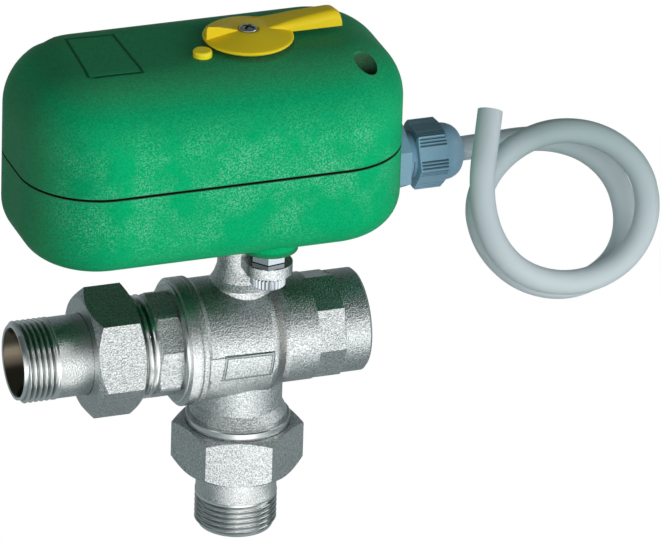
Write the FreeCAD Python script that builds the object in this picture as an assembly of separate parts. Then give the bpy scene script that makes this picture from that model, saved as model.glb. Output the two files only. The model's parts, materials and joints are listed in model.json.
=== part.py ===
import FreeCAD, Part
import math
import os

V = FreeCAD.Vector

# Motorized three-way ball valve, in millimetres.
# The origin is the centre of the bottom pipe end. Z runs up the valve stem,
# X runs along the valve towards the right port and Y runs to the back.

# Pipe ends: male G 3/4
pipe_thread_radius = 13.22
pipe_thread_length = 11.7
pipe_bore_bevel = 0.6
barrel_relief = 0.22
barrel_radius = pipe_thread_radius - barrel_relief
pipe_bore_radius = 10.8
tailpiece_flange_radius = 15.0
tailpiece_flange_thickness = 3.3

# Union nuts and the G 1 union threads that they run on
bottom_nut_start = 21.0
left_nut_start = 22.8
union_nut_height = 15.7
union_nut_flats = 36.7
union_nut_end_wall = 3.6
union_nut_chamfer_pipe_side = 2.4
union_nut_chamfer_open_side = 1.5
union_nut_face_radius = 18.2
union_nut_turn = 12.7
union_thread_radius = 16.62
union_clearance = 0.15
gasket_thickness = 2.0

# Valve body
run_height = 67.0
left_end = -75.75
right_end = 39.1
body_radius = 19.6
body_collar_rise = 1.0
body_collar_radius = body_radius + body_collar_rise
body_collar_start = -23.0
body_collar_length = 7.2
body_taper_start = 5.0
body_taper_end = 10.6
right_section_radius = 17.3
right_octagon_start = 21.2
right_octagon_length = 9.0
octagon_flats = 32.2
octagon_corner_rise = 1.0
right_octagon_turn = 17.3
left_octagon_turn = -10.5
right_collar_radius = 16.6
right_port_minor_radius = 12.06
right_port_depth = 15.0
flow_bore_radius = 9.5
branch_radius = 14.0
branch_ring_rise = 0.18
branch_ring_radius = union_thread_radius + branch_ring_rise
branch_ring_gap = 0.6
branch_ring_height = 2.1
branch_cone_radius = 15.6
pad_x = (-17.5, 6.0)
pad_low = -5.6
pad_high = 2.1
pad_corner = 3.0
pad_rise = 0.5

# Ball, seats and stem
ball_radius = 15.0
ball_bore_radius = 9.0
seat_gap = 0.3
cavity_gap = 1.3
cavity_radius = ball_radius + cavity_gap
seat_outer_radius = 13.6
seat_inner_radius = 9.7
seat_back = 1.6
seat_front = 6.2
seat_depth = ball_radius - seat_back
seat_lip = ball_radius - seat_front
ball_to_stem = 0.3
fit = 0.05
stem_radius = 4.45
stem_flange_radius = 6.2
stem_flange_thickness = 2.2
stem_flange_clearance = 0.15
tang_width = 3.9
tang_reach = 5.2
tang_depth = 3.2
washer_thickness = 1.0
oring_section = 1.1
oring_first = 6.45
oring_pitch = 5.0
stem_square = 6.2
stem_square_height = 7.6
neck_radius = 7.9
neck_root_radius = 10.4
neck_height = 41.4
neck_top = run_height + neck_height

# Bracket ear and the screw that holds the actuator
ear_screw_x = 3.7
ear_screw_y = -14.6
ear_end_x = 4.6
ear_end_y = -12.3
ear_radius = 7.6
ear_height = 27.3
ear_bottom = run_height + ear_height
ear_thickness = 3.6
screw_shank_radius = 3.0
screw_head_radius = 5.65
screw_head_height = 3.6
screw_socket_flats = 5.0
screw_socket_depth = 2.2
screw_grip = 9.0
hex_flats = 10.0
hex_turn = 40.0
lock_nut_height = 1.55
hex_insert_gap = 0.45
hex_insert_length = 12.0

# Connector between the left union and the body
connector_ring_length = 0.9
connector_octagon_length = 8.1
connector_octagon_end = body_collar_start - connector_ring_length
connector_octagon_start = connector_octagon_end - connector_octagon_length
connector_relief_radius = 15.6
connector_relief_length = 2.2
connector_ring_radius = 19.3
connector_plug_radius = 17.9
connector_plug_length = 7.4
connector_plug_end = body_collar_start + connector_plug_length
connector_snout_radius = 15.9
seal_thickness = 1.1

# Housing
housing_left = -75.7
housing_right = 49.6
housing_front = -28.5
housing_back = 36.0
neck_engagement = 3.8
housing_height = 64.4
base_height = 29.05
housing_bottom = neck_top - neck_engagement
housing_top = housing_bottom + housing_height
seam_height = housing_bottom + base_height
housing_corner = 25.0
top_fillet = 19.8
bottom_fillet = 12.8
wall = 2.6
gasket_band = 0.8
gasket_inset = 0.5
lip_height = 2.2
lip_wall = 1.2
lip_clearance = 0.2

# Cover screws
cover_screw_inset_x = 16.6
cover_screw_inset_y = 11.1
cover_screw_front = (housing_right - cover_screw_inset_x, housing_front + cover_screw_inset_y)
cover_screw_back = (housing_left + cover_screw_inset_x, housing_back - cover_screw_inset_y)
cover_post_radius = 5.4
recess_radius = 3.8
recess_rise = 7.35
recess_floor = seam_height + recess_rise
cover_screw_radius = 1.5
cover_screw_head_radius = 2.9
cover_screw_head_height = 2.2
cover_screw_depth = 14.0

# Actuator base details
base_boss_radius = 9.2
base_boss_drop = 0.7
base_boss_bottom = housing_bottom - base_boss_drop
socket_clearance = 0.1
socket_collar_radius = 11.0
socket_collar_rise = 6.6
socket_collar_top = neck_top + socket_collar_rise

# Gear train: pitch radius = module * teeth / 2
output_module = 0.8
output_teeth = 36
idler_pinion_teeth = 10
train_module = 0.5
idler_wheel_teeth = 40
motor_pinion_teeth = 12
pressure_angle = 25.0
backlash = 0.14
idler_direction = 200.5
motor_pinion_direction = 171.5
gear_plate_height = 19.9
gear_plate_bottom = housing_bottom + gear_plate_height
gear_plate_thickness = 1.5
plate_side_gap = 6.7
plate_front_gap = 4.9
plate_back_gap = 3.6
plate_right = 25.0
plate_x = (housing_left + plate_side_gap, plate_right)
plate_y = (housing_front + plate_front_gap, housing_back - plate_back_gap)
plate_corner_gap = 1.2
bush_flange = 0.8
output_gear_gap = 3.5
output_gear_bottom = gear_plate_bottom + gear_plate_thickness + bush_flange + output_gear_gap
output_gear_thickness = 3.0
idler_overlap = 1.8
idler_pinion_length = 3.2
idler_wheel_lift = 2.4
idler_wheel_thickness = 1.6
idler_hub_radius = 2.9
idler_hub_rise = 0.8
motor_pinion_length = 4.4

# Output shaft and cams
shaft_radius = 4.6
shaft_socket_radius = 6.5
shaft_socket_gap = 0.5
shaft_socket_top = gear_plate_bottom - shaft_socket_gap
bush_wall = 2.0
gear_hub_radius = 7.2
gear_hub_rise = 3.0
cam_base_radius = 9.0
cam_rise = 1.0
cam_height = 5.6
cam_gap = 3.1
lower_cam_bottom = output_gear_bottom + output_gear_thickness + gear_hub_rise + cam_gap
cam_pitch = 7.0
travel_angle = 90.0

# Limit switches
switch_width = 20.0
switch_depth = 10.2
switch_height = 6.4
switch_face = 12.6
switch_hole_pitch = 9.5
switch_screw_setback = 7.2
switch_tab_pitch = 15.0
plunger_radius = 1.1
plunger_gap = 0.12
plunger_length = 4.0
switch_screw_radius = 1.2
switch_spacer_radius = 2.2

# Release button
button_radius = 3.05
button_rise = 2.05
button_travel = 2.0
button_clearance = 0.1
button_guide_depth = 5.0
button_length = 10.0
rod_radius = 1.5
rod_flange_radius = 2.6
rod_flange_thickness = 1.5
rod_ring_radius = 2.4
rod_ring = 0.7
rod_ring_gap = 0.1
button_spring_length = 8.0
button_spring_wire = 0.35
button_spring_radius = 2.05
spring_post_radius = 3.0

# Motor
motor_radius = 21.0
motor_offset = (-13.9, 6.5)
motor_thickness = 16.2
motor_shaft_radius = 1.0
motor_screw_inset = 5.0
motor_boss_radius = 3.6

# Gear plate posts
post_inset = 5.0
plate_posts = (
    (plate_x[0] + post_inset, plate_y[0] + 6.6),
    (-30.0, plate_y[1] - 2.9),
    (17.0, 22.0),
    (17.5, plate_y[0] + 4.4),
)
plate_post_radius = 3.4
plate_screw_radius = 1.3
plate_screw_head_radius = 2.5
plate_hole_depth = 8.0

# Lever
lever_radius = 14.4
lever_gap = 0.6
lever_rim_rise = 2.4
lever_centre_rise = 4.5
lever_crest_rise = 7.0
lever_rim_top = housing_top + lever_rim_rise
lever_centre_top = housing_top + lever_centre_rise
lever_crest = housing_top + lever_crest_rise
lever_tip = 31.0
lever_root = 1.2
lever_side = -0.8
lever_hub_radius = 6.4
lever_hub_depth = 5.0
cover_hole_clearance = 0.3
lever_collar_depth = 3.0
guide_wall = 2.2
lever_screw_radius = 2.95
lever_screw_height = 1.5
lever_screw_shank = 1.5
lever_screw_length = 8.5
lever_screw_spare = 0.5
lever_web = 1.2
lever_centre_radius = 4.0
handle_root_width = 11.4
handle_tip_width = 6.0
handle_round = 2.4
pointer_width = 7.0

# Cable gland
gland_y = 3.75
gland_height = 16.0
gland_z = housing_bottom + gland_height
gland_thread_radius = 7.9
gland_flats = 19.4
gland_flange_length = 4.6
gland_neck_length = 2.9
gland_neck_radius = 7.4
gland_nut_length = 10.0
gland_dome_length = 5.5
gland_dome_radius = 8.85
gland_mouth_radius = 5.2
gland_nut_turn = 24.0
gland_lock_nut_thickness = 2.8
gland_lock_nut_flats = 18.0
gland_seat_radius = 11.4
gland_pocket_radius = 10.5
gland_seat_root = housing_right - 7.6
gland_seal_depth = 8.0
gland_lock_nut_turn = 30.0

# Circuit board and terminals
board_thickness = 1.6
board_post_radius = 2.4
board_rise = 4.8
board_height = housing_bottom + wall + board_rise
board_right = housing_right - 11.6
board_width = 16.4
board_front = gland_y - 13.75
board_length = 36.0
board_x = (board_right - board_width, board_right)
board_y = (board_front, board_front + board_length)
terminal_pitch = 5.0
terminal_poles = 5
terminal_depth = 8.0
terminal_x = (board_x[0] + 2.0, board_x[0] + 2.0 + terminal_depth)
terminal_rise = 3.1
terminal_height = 9.0
terminal_opening = 3.0
capacitor_x = (board_x[0] + 0.6, board_x[1] - 0.6)
capacitor_y = (board_y[1] - 6.6, board_y[1] - 1.4)
capacitor_height = 9.0
conductor_radius = 0.8
conductor_spread = 1.4
conductor_bend = 5.2

# Cable: the lead leaves the gland along X, winds two loose turns and ends free
cable_radius = 4.0
cable_lead_length = 8.2
cable_stop = 3.0
coil_points = (
    (91.5, 2.8, 121.6, 4.0, 0.12),
    (126.2, -10.4, 94.7, -94.1, 0.26),
    (104.9, -17.1, 78.1, 178.8, 0.10),
    (71.6, -20.0, 110.9, 90.0, 0.06),
    (96.7, -22.6, 135.0, 0.0, 0.06),
    (127.4, -25.3, 107.8, -90.0, 0.06),
    (104.0, -27.7, 84.9, 180.0, 0.06),
    (77.0, -29.6, 99.5, 124.0, 0.06),
)
tail_start = (68.7, -30.7, 128.7)
tail_end = (74.3, -20.7, 144.9)


def cylinder(radius, start, end, axis="z", x=0.0, y=0.0, z=0.0):
    """A round bar from start to end along an axis, offset by the other two values."""
    if axis == "z":
        return Part.makeCylinder(radius, end - start, V(x, y, start), V(0, 0, 1))
    if axis == "x":
        return Part.makeCylinder(radius, end - start, V(start, y, z), V(1, 0, 0))
    return Part.makeCylinder(radius, end - start, V(x, start, z), V(0, 1, 0))


def box(x0, x1, y0, y1, z0, z1):
    return Part.makeBox(x1 - x0, y1 - y0, z1 - z0, V(x0, y0, z0))


def revolved(profile, axis="z"):
    """Turn (along, radius) points about the Z or X axis through the origin."""
    if axis == "z":
        points = [V(r, 0, s) for s, r in profile]
        direction = V(0, 0, 1)
    else:
        points = [V(s, 0, r) for s, r in profile]
        direction = V(1, 0, 0)
    wire = Part.makePolygon(points + [points[0]])
    return Part.Face(wire).revolve(V(0, 0, 0), direction, 360)


def polygon_prism(sides, flats, start, end, turn=0.0, axis="z"):
    """A regular prism with the given width across flats."""
    radius = flats / 2 / math.cos(math.pi / sides)
    points = []
    for k in range(sides):
        a = math.radians(turn + (k + 0.5) * 360 / sides)
        if axis == "z":
            points.append(V(radius * math.cos(a), radius * math.sin(a), start))
        else:
            points.append(V(start, -radius * math.cos(a), radius * math.sin(a)))
    wire = Part.makePolygon(points + [points[0]])
    step = V(0, 0, end - start) if axis == "z" else V(end - start, 0, 0)
    return Part.Face(wire).extrude(step)


def placed(shape, x=0.0, y=0.0, z=0.0):
    moved = shape.copy()
    moved.translate(V(x, y, z))
    return moved


def rounded_block(inset, z0, z1, corner):
    """The housing's plan outline, inset by a wall, between two heights."""
    x0 = housing_left + inset
    x1 = housing_right - inset
    y0 = housing_front + inset
    y1 = housing_back - inset
    block = box(x0, x1, y0, y1, z0, z1)
    return block.makeFillet(corner, upright_edges(block))


def soft_block(inset, z0, z1, fillet, at_top):
    """The same outline with its top or bottom edge rounded."""
    block = rounded_block(inset, z0, z1, housing_corner - inset)
    level = z1 if at_top else z0
    return block.makeFillet(fillet - inset, edges_at(block, level))


def edges_at(shape, z):
    """The level edges of a shape at one height."""
    found = []
    for edge in shape.Edges:
        if abs(edge.BoundBox.ZMin - z) < 1e-6 and abs(edge.BoundBox.ZMax - z) < 1e-6:
            found.append(edge)
    return found


def upright_edges(shape):
    """The straight edges of a shape that run along Z."""
    return [e for e in shape.Edges if abs(e.tangentAt(e.FirstParameter).z) > 0.9]


def single(shape):
    """The one solid inside a result."""
    return shape.removeSplitter().Solids[0]


# Pipe union
def tailpiece(nut_start):
    """Pipe end, barrel and flange, from the pipe end at zero upwards."""
    flange_start = nut_start + union_nut_end_wall + union_clearance
    flange_end = flange_start + tailpiece_flange_thickness
    profile = [
        (pipe_bore_bevel, pipe_bore_radius),
        (0, pipe_bore_radius + pipe_bore_bevel),
        (0, pipe_thread_radius),
        (pipe_thread_length, pipe_thread_radius),
        (pipe_thread_length, barrel_radius),
        (flange_start, barrel_radius),
        (flange_start, tailpiece_flange_radius),
        (flange_end, tailpiece_flange_radius),
        (flange_end, pipe_bore_radius),
    ]
    return revolved(profile)


def union_face(nut_start):
    """Distance from the pipe end to the sealing face of the tailpiece."""
    return nut_start + union_nut_end_wall + union_clearance + tailpiece_flange_thickness


def union_gasket(nut_start):
    start = union_face(nut_start)
    ring = cylinder(tailpiece_flange_radius, start, start + gasket_thickness)
    return ring.cut(cylinder(pipe_bore_radius, start - 1, start + gasket_thickness + 1))


def union_nut(start):
    """Hexagon nut with turned chamfers, an end wall and a threaded mouth."""
    end = start + union_nut_height
    corner = union_nut_flats / 2 / math.cos(math.pi / 6)
    blank = polygon_prism(6, union_nut_flats, start, end)
    chamfered = revolved([
        (start, 0),
        (start, union_nut_face_radius),
        (start + union_nut_chamfer_pipe_side, corner + 0.1),
        (end - union_nut_chamfer_open_side, corner + 0.1),
        (end, union_nut_face_radius),
        (end, 0),
    ])
    nut = blank.common(chamfered)
    nut = nut.cut(cylinder(barrel_radius + union_clearance, start - 1, end + 1))
    return nut.cut(cylinder(union_thread_radius + union_clearance, start + union_nut_end_wall, end + 1))


def turned(nut):
    """A union nut at the angle where it came tight."""
    tight = nut.copy()
    tight.rotate(V(0, 0, 0), V(0, 0, 1), union_nut_turn)
    return tight


def to_left(shape):
    """Lay a union piece on the run axis, with its pipe end at the left."""
    laid = shape.copy()
    laid.rotate(V(0, 0, 0), V(0, 1, 0), 90)
    laid.translate(V(left_end, 0, run_height))
    return laid


# Valve body
def octagon(start, end, radius_limit, turn):
    """Eight-sided spanner section, with its corners turned off slightly."""
    prism = polygon_prism(8, octagon_flats, start, end, turn, "x")
    return prism.common(cylinder(radius_limit, start, end, "x"))


def body_run():
    """Outer form of the horizontal run, about the X axis."""
    collar_end = body_collar_start + body_collar_length
    groove = 0.5
    profile = [
        (body_collar_start, 0),
        (body_collar_start, body_collar_radius - 0.5),
        (body_collar_start + 0.5, body_collar_radius),
        (body_collar_start + 3.4, body_collar_radius),
        (body_collar_start + 3.6, body_collar_radius - groove),
        (body_collar_start + 4.0, body_collar_radius - groove),
        (body_collar_start + 4.4, body_collar_radius),
        (collar_end - 1.4, body_collar_radius),
        (collar_end, body_radius),
        (body_taper_start, body_radius),
        (body_taper_start + 1.6, body_radius - 0.5),
        (body_taper_end - 0.8, right_section_radius - 0.25),
        (body_taper_end + 1.0, right_section_radius),
        (right_octagon_start + right_octagon_length, right_section_radius),
        (right_octagon_start + right_octagon_length, right_collar_radius),
        (right_end - 0.8, right_collar_radius),
        (right_end, right_collar_radius - 0.8),
        (right_end, 0),
    ]
    run = revolved(profile, "x")
    octagon_end = right_octagon_start + right_octagon_length
    corner = right_section_radius + 0.3
    run = run.cut(cylinder(corner, right_octagon_start, octagon_end, "x"))
    run = run.fuse(octagon(right_octagon_start, octagon_end, corner, right_octagon_turn))
    return placed(run, z=run_height)


def body_branch():
    """Bottom branch, from the union thread up into the run."""
    thread_start = union_face(bottom_nut_start) + gasket_thickness
    ring_start = bottom_nut_start + union_nut_height + branch_ring_gap
    ring_end = ring_start + branch_ring_height
    profile = [
        (thread_start, 0),
        (thread_start, union_thread_radius - 0.8),
        (thread_start + 0.8, union_thread_radius),
        (ring_start, union_thread_radius),
        (ring_start, branch_ring_radius),
        (ring_end - 0.3, branch_ring_radius),
        (ring_end, branch_ring_radius - 0.3),
        (ring_end, branch_cone_radius - 0.5),
        (ring_end + 0.8, branch_cone_radius - 0.5),
        (ring_end + 1.2, branch_cone_radius),
        (ring_end + 4.4, branch_radius),
        (run_height, branch_radius),
        (run_height, 0),
    ]
    return revolved(profile)


def body_neck():
    """Stem neck, flaring into the top of the body."""
    root = run_height + body_radius
    profile = [
        (run_height, 0),
        (run_height, neck_root_radius),
        (root - 0.6, neck_root_radius),
        (root + 1.6, neck_root_radius - 1.3),
        (root + 5.2, neck_radius),
        (neck_top - 0.5, neck_radius),
        (neck_top, neck_radius - 0.5),
        (neck_top, 0),
    ]
    return revolved(profile)


def body_ear():
    """Lug that the actuator screw passes through."""
    top = ear_bottom + ear_thickness
    lug = cylinder(ear_radius, ear_bottom, top, "z", ear_end_x, ear_end_y)
    lug = lug.fuse(box(ear_end_x - ear_radius, ear_end_x + ear_radius, ear_end_y, 2.0, ear_bottom, top))
    hole = cylinder(screw_shank_radius + 0.3, ear_bottom - 1, top + 1, "z", ear_screw_x, ear_screw_y)
    return lug.cut(hole)


def body_pad():
    """Bare raised pad on the front of the body."""
    z0 = run_height + pad_low
    z1 = run_height + pad_high
    outline = box(pad_x[0], pad_x[1], -body_radius - 2, -body_radius / 2, z0, z1)
    corners = [e for e in outline.Edges if abs(e.tangentAt(e.FirstParameter).y) > 0.9]
    outline = outline.makeFillet(pad_corner, [e for e in corners if e.BoundBox.XMin > 0])
    return outline.common(cylinder(body_radius + pad_rise, pad_x[0], pad_x[1], "x", 0, 0, run_height))


def valve_body():
    body = body_run().fuse(body_branch())
    body = body.fuse(body_neck())
    body = body.fuse(body_ear())
    body = body.fuse(body_pad())
    shoulder = connector_plug_end + seal_thickness
    cuts = [
        cylinder(connector_plug_radius + fit, body_collar_start - 1, shoulder, "x", 0, 0, run_height),
        cylinder(cavity_radius, shoulder - 1, seat_lip - 0.2, "x", 0, 0, run_height),
        cylinder(seat_outer_radius, seat_lip - 1, seat_depth, "x", 0, 0, run_height),
        cylinder(flow_bore_radius, seat_depth - 1, right_end, "x", 0, 0, run_height),
        cylinder(right_port_minor_radius, right_end - right_port_depth, right_end + 1, "x", 0, 0, run_height),
        cylinder(flow_bore_radius, 0, run_height, "z"),
        cylinder(stem_radius + fit, run_height, neck_top + 1, "z"),
        cylinder(stem_flange_radius + stem_flange_clearance, run_height, stem_washer_top(), "z"),
    ]
    for cut in cuts:
        body = body.cut(cut)
    return single(body)


def end_connector():
    """Threaded end, octagon and plug that holds the left seat."""
    thread_start = left_end + union_face(left_nut_start) + gasket_thickness
    octagon_end = connector_octagon_end
    relief_start = connector_octagon_start - connector_relief_length
    profile = [
        (thread_start, 0),
        (thread_start, union_thread_radius - 0.8),
        (thread_start + 0.8, union_thread_radius),
        (relief_start, union_thread_radius),
        (relief_start + 0.8, connector_relief_radius),
        (connector_octagon_start, connector_relief_radius),
        (octagon_end, connector_relief_radius),
        (octagon_end, connector_ring_radius - 0.4),
        (octagon_end + 0.4, connector_ring_radius),
        (body_collar_start, connector_ring_radius),
        (body_collar_start, connector_plug_radius),
        (connector_plug_end, connector_plug_radius),
        (connector_plug_end, connector_snout_radius),
        (-seat_lip - 1.0, connector_snout_radius),
        (-seat_lip - 1.0, 0),
    ]
    piece = revolved(profile, "x")
    corner = octagon_flats / 2 + octagon_corner_rise
    piece = piece.fuse(octagon(connector_octagon_start, octagon_end, corner, left_octagon_turn))
    piece = piece.cut(cylinder(seat_outer_radius, -seat_depth, 0, "x"))
    piece = piece.cut(cylinder(flow_bore_radius, left_end, 0, "x"))
    return single(placed(piece, z=run_height))


def connector_seal():
    ring = cylinder(connector_plug_radius, connector_plug_end, connector_plug_end + seal_thickness, "x")
    ring = ring.cut(cylinder(connector_snout_radius + 0.1, connector_plug_end - 1, 0, "x"))
    return placed(ring, z=run_height)


def ball_seat(side):
    """Ring with a hollow spherical face, on the left (-1) or right (+1)."""
    ring = cylinder(seat_outer_radius, seat_lip, seat_depth, "x")
    ring = ring.cut(cylinder(seat_inner_radius, seat_lip - 1, seat_depth + 1, "x"))
    ring = ring.cut(Part.makeSphere(ball_radius + seat_gap))
    if side < 0:
        ring.rotate(V(0, 0, 0), V(0, 0, 1), 180)
    return placed(ring, z=run_height)


# Ball and stem
def stem_flange_bottom():
    return run_height + ball_radius + ball_to_stem


def stem_flange_top():
    return stem_flange_bottom() + stem_flange_thickness


def oring_heights():
    first = stem_washer_top() + oring_first
    return (first, first + oring_pitch)


def stem_washer_top():
    return stem_flange_top() + fit + washer_thickness


def ball():
    """Ball with two side ports at a right angle and a bottom port."""
    piece = Part.makeSphere(ball_radius)
    piece = piece.cut(cylinder(ball_bore_radius, -ball_radius - 1, 0, "x"))
    piece = piece.cut(cylinder(ball_bore_radius, -ball_radius - 1, 0, "y"))
    piece = piece.cut(cylinder(ball_bore_radius, -ball_radius - 1, 0, "z"))
    piece = piece.cut(Part.makeSphere(ball_bore_radius))
    half = tang_width / 2 + fit
    slot = box(-half, half, -ball_radius, ball_radius, ball_radius - tang_depth - 0.1, ball_radius + 1)
    piece = piece.cut(slot)
    return single(placed(piece, z=run_height))


def stem():
    flange_bottom = stem_flange_bottom()
    flange_top = stem_flange_top()
    piece = cylinder(stem_flange_radius, flange_bottom, flange_top)
    half_width = tang_width / 2
    tang_bottom = run_height + ball_radius - tang_depth
    tang = box(-half_width, half_width, -tang_reach, tang_reach, tang_bottom, flange_bottom + 0.1)
    piece = piece.fuse(tang)
    piece = piece.fuse(cylinder(stem_radius, flange_top - 0.1, neck_top))
    half = stem_square / 2
    piece = piece.fuse(box(-half, half, -half, half, neck_top - 0.1, neck_top + stem_square_height))
    for height in oring_heights():
        groove = cylinder(stem_radius + 1, height - 0.6, height + 0.6)
        groove = groove.cut(cylinder(stem_radius - oring_section, height - 1, height + 1))
        piece = piece.cut(groove)
    return single(piece)


def stem_orings():
    rings = []
    for height in oring_heights():
        middle = stem_radius - oring_section / 2
        rings.append(Part.makeTorus(middle, oring_section / 2 - 0.02, V(0, 0, height), V(0, 0, 1)))
    return Part.makeCompound(rings)


def stem_washer():
    top = stem_washer_top()
    ring = cylinder(stem_flange_radius, top - washer_thickness, top)
    return ring.cut(cylinder(stem_radius + fit, top - 3, top + 1))


# Mounting screw
def mounting_screw():
    """Knurled-head screw through the ear, from below."""
    head_bottom = ear_bottom - screw_head_height
    head = cylinder(screw_head_radius, head_bottom, ear_bottom)
    head = head.makeChamfer(0.5, edges_at(head, head_bottom))
    socket = polygon_prism(6, screw_socket_flats, head_bottom - 1, head_bottom + screw_socket_depth)
    shank = cylinder(screw_shank_radius, ear_bottom - 0.1, hex_insert_bottom() + screw_grip)
    return placed(head.cut(socket).fuse(shank), ear_screw_x, ear_screw_y)


def lock_nut():
    start = ear_bottom + ear_thickness
    nut = polygon_prism(6, hex_flats, start, start + lock_nut_height, hex_turn)
    nut = nut.cut(cylinder(screw_shank_radius, start - 1, start + 9))
    return placed(nut, ear_screw_x, ear_screw_y)


def hex_insert_bottom():
    return ear_bottom + ear_thickness + lock_nut_height + hex_insert_gap


def hex_insert():
    start = hex_insert_bottom()
    end = start + hex_insert_length
    insert = polygon_prism(6, hex_flats, start, end, hex_turn)
    insert = insert.cut(cylinder(screw_shank_radius, start - 1, start + screw_grip + 0.5))
    return placed(insert, ear_screw_x, ear_screw_y)


# Housing
def screw_posts(radius, z0, z1):
    posts = []
    for x, y in (cover_screw_front, cover_screw_back):
        posts.append(cylinder(radius, z0, z1, "z", x, y))
    return posts


def base_top():
    return seam_height - gasket_band / 2


def cover_bottom():
    return seam_height + gasket_band / 2


def housing_base():
    """Lower shell with its lip, posts, neck socket and screw boss."""
    top = base_top()
    floor = housing_bottom + wall
    outer = soft_block(0, housing_bottom, top, bottom_fillet, False)
    inner = soft_block(wall, floor, top + 1, bottom_fillet, False)
    shell = outer.cut(inner)
    outside = wall + lip_clearance
    lip = rounded_block(outside, top - 2, top + lip_height, housing_corner - outside)
    inside = outside + lip_wall
    lip = lip.cut(rounded_block(inside, top - 3, top + lip_height + 1, housing_corner - inside))
    root = rounded_block(wall - 0.1, top - 2, top, housing_corner - wall + 0.1)
    root = root.cut(rounded_block(inside, top - 3, top + 1, housing_corner - inside))
    parts = [cylinder(socket_collar_radius, floor - 0.5, socket_collar_top)]
    boss = cylinder(base_boss_radius, base_boss_bottom, socket_collar_top, "z", ear_screw_x, ear_screw_y)
    for post in screw_posts(cover_post_radius, floor - 0.5, top):
        parts.append(post)
    for x, y in plate_posts:
        parts.append(cylinder(plate_post_radius, floor - 0.5, gear_plate_bottom, "z", x, y))
    idler = idler_centre()
    parts.append(cylinder(spring_post_radius, floor - 0.5, button_spring_bottom(), "z", idler[0], idler[1]))
    for y in (board_y[0] + 3, board_y[1] - 3):
        parts.append(cylinder(board_post_radius, floor - 0.5, board_height, "z", board_x[1] - 3, y))
    for part in parts:
        shell = shell.fuse(part.common(outer))
    shell = shell.fuse(lip).fuse(root).fuse(boss)
    shell = shell.fuse(gland_bar(gland_seat_radius, gland_seat_root, housing_right))
    for cut in base_cuts(floor, top):
        shell = shell.cut(cut)
    return single(shell)


def gland_bar(radius, start, end):
    """A round bar on the gland's axis."""
    return cylinder(radius, start, end, "x", 0, gland_y, gland_z)


def base_cuts(floor, top):
    neck_hole = neck_radius + socket_clearance
    cuts = [
        cylinder(neck_hole, base_boss_bottom - 1, neck_top + 0.2),
        cylinder(shaft_socket_radius + fit, neck_top, socket_collar_top + 1),
        gland_bar(gland_thread_radius + 0.1, housing_right - wall - 2, housing_right + 2),
        gland_bar(gland_pocket_radius, gland_seat_root - 1, housing_right - wall),
    ]
    insert_top = hex_insert_bottom() + hex_insert_length
    insert_hole = polygon_prism(6, hex_flats, base_boss_bottom - 1, insert_top, hex_turn)
    cuts.append(placed(insert_hole, ear_screw_x, ear_screw_y))
    for x, y in (cover_screw_front, cover_screw_back):
        cuts.append(cylinder(cover_screw_radius, top - cover_screw_depth, top + 5, "z", x, y))
        cuts.append(cylinder(cover_post_radius + lip_clearance, top, top + lip_height + 1, "z", x, y))
    for x, y in plate_posts:
        hole_bottom = gear_plate_bottom - plate_hole_depth
        cuts.append(cylinder(plate_screw_radius, hole_bottom, gear_plate_bottom + 1, "z", x, y))
    return cuts


def housing_cover():
    """Upper shell with recessed screw posts and guides for lever and button."""
    bottom = cover_bottom()
    outer = soft_block(0, bottom, housing_top, top_fillet, True)
    inner = soft_block(wall, bottom - 1, housing_top - wall, top_fillet, True)
    shell = outer.cut(inner)
    idler = idler_centre()
    extras = screw_posts(cover_post_radius, bottom, housing_top)
    guide_bottom = button_guide_bottom()
    collar_bottom = housing_top - wall - lever_collar_depth
    extras.append(cylinder(button_radius + guide_wall, guide_bottom, housing_top, "z", idler[0], idler[1]))
    extras.append(cylinder(lever_hub_radius + guide_wall, collar_bottom, housing_top))
    for extra in extras:
        shell = shell.fuse(extra.common(outer))
    cuts = screw_posts(recess_radius, recess_floor, housing_top + 1)
    cuts += screw_posts(cover_screw_radius + 0.25, bottom - 1, recess_floor + 1)
    button_hole = button_radius + button_clearance
    cuts.append(cylinder(button_hole, guide_bottom - 1, housing_top + 1, "z", idler[0], idler[1]))
    cuts.append(cylinder(lever_hub_radius + cover_hole_clearance, collar_bottom - 1, housing_top + 1))
    for cut in cuts:
        shell = shell.cut(cut)
    return single(shell)


def cover_gasket():
    inner = wall
    z0 = base_top()
    z1 = cover_bottom()
    ring = rounded_block(gasket_inset, z0, z1, housing_corner - gasket_inset)
    ring = ring.cut(rounded_block(inner, z0 - 1, z1 + 1, housing_corner - inner))
    return ring


def crossed(head, reach, half_width, floor):
    """A screw head with a cross slot cut down to a floor."""
    head = head.cut(box(-reach, reach, -half_width, half_width, floor, floor + 3))
    return head.cut(box(-half_width, half_width, -reach, reach, floor, floor + 3))


def cover_screws():
    """Two identical pan-head screws at the bottom of their recesses."""
    screws = []
    for x, y in (cover_screw_front, cover_screw_back):
        shank = cylinder(cover_screw_radius, base_top() - cover_screw_depth + 1, recess_floor + 0.1)
        head = cylinder(cover_screw_head_radius, recess_floor, recess_floor + cover_screw_head_height)
        head = crossed(head, 2.2, 0.4, recess_floor + 1.0)
        screws.append(placed(shank.fuse(head), x, y))
    return Part.makeCompound(screws)


# Gears
def involute(base, radius):
    """Angle swept by an involute between its base circle and a radius."""
    t = math.sqrt(max((radius / base) ** 2 - 1, 0))
    return t - math.atan(t)


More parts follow.
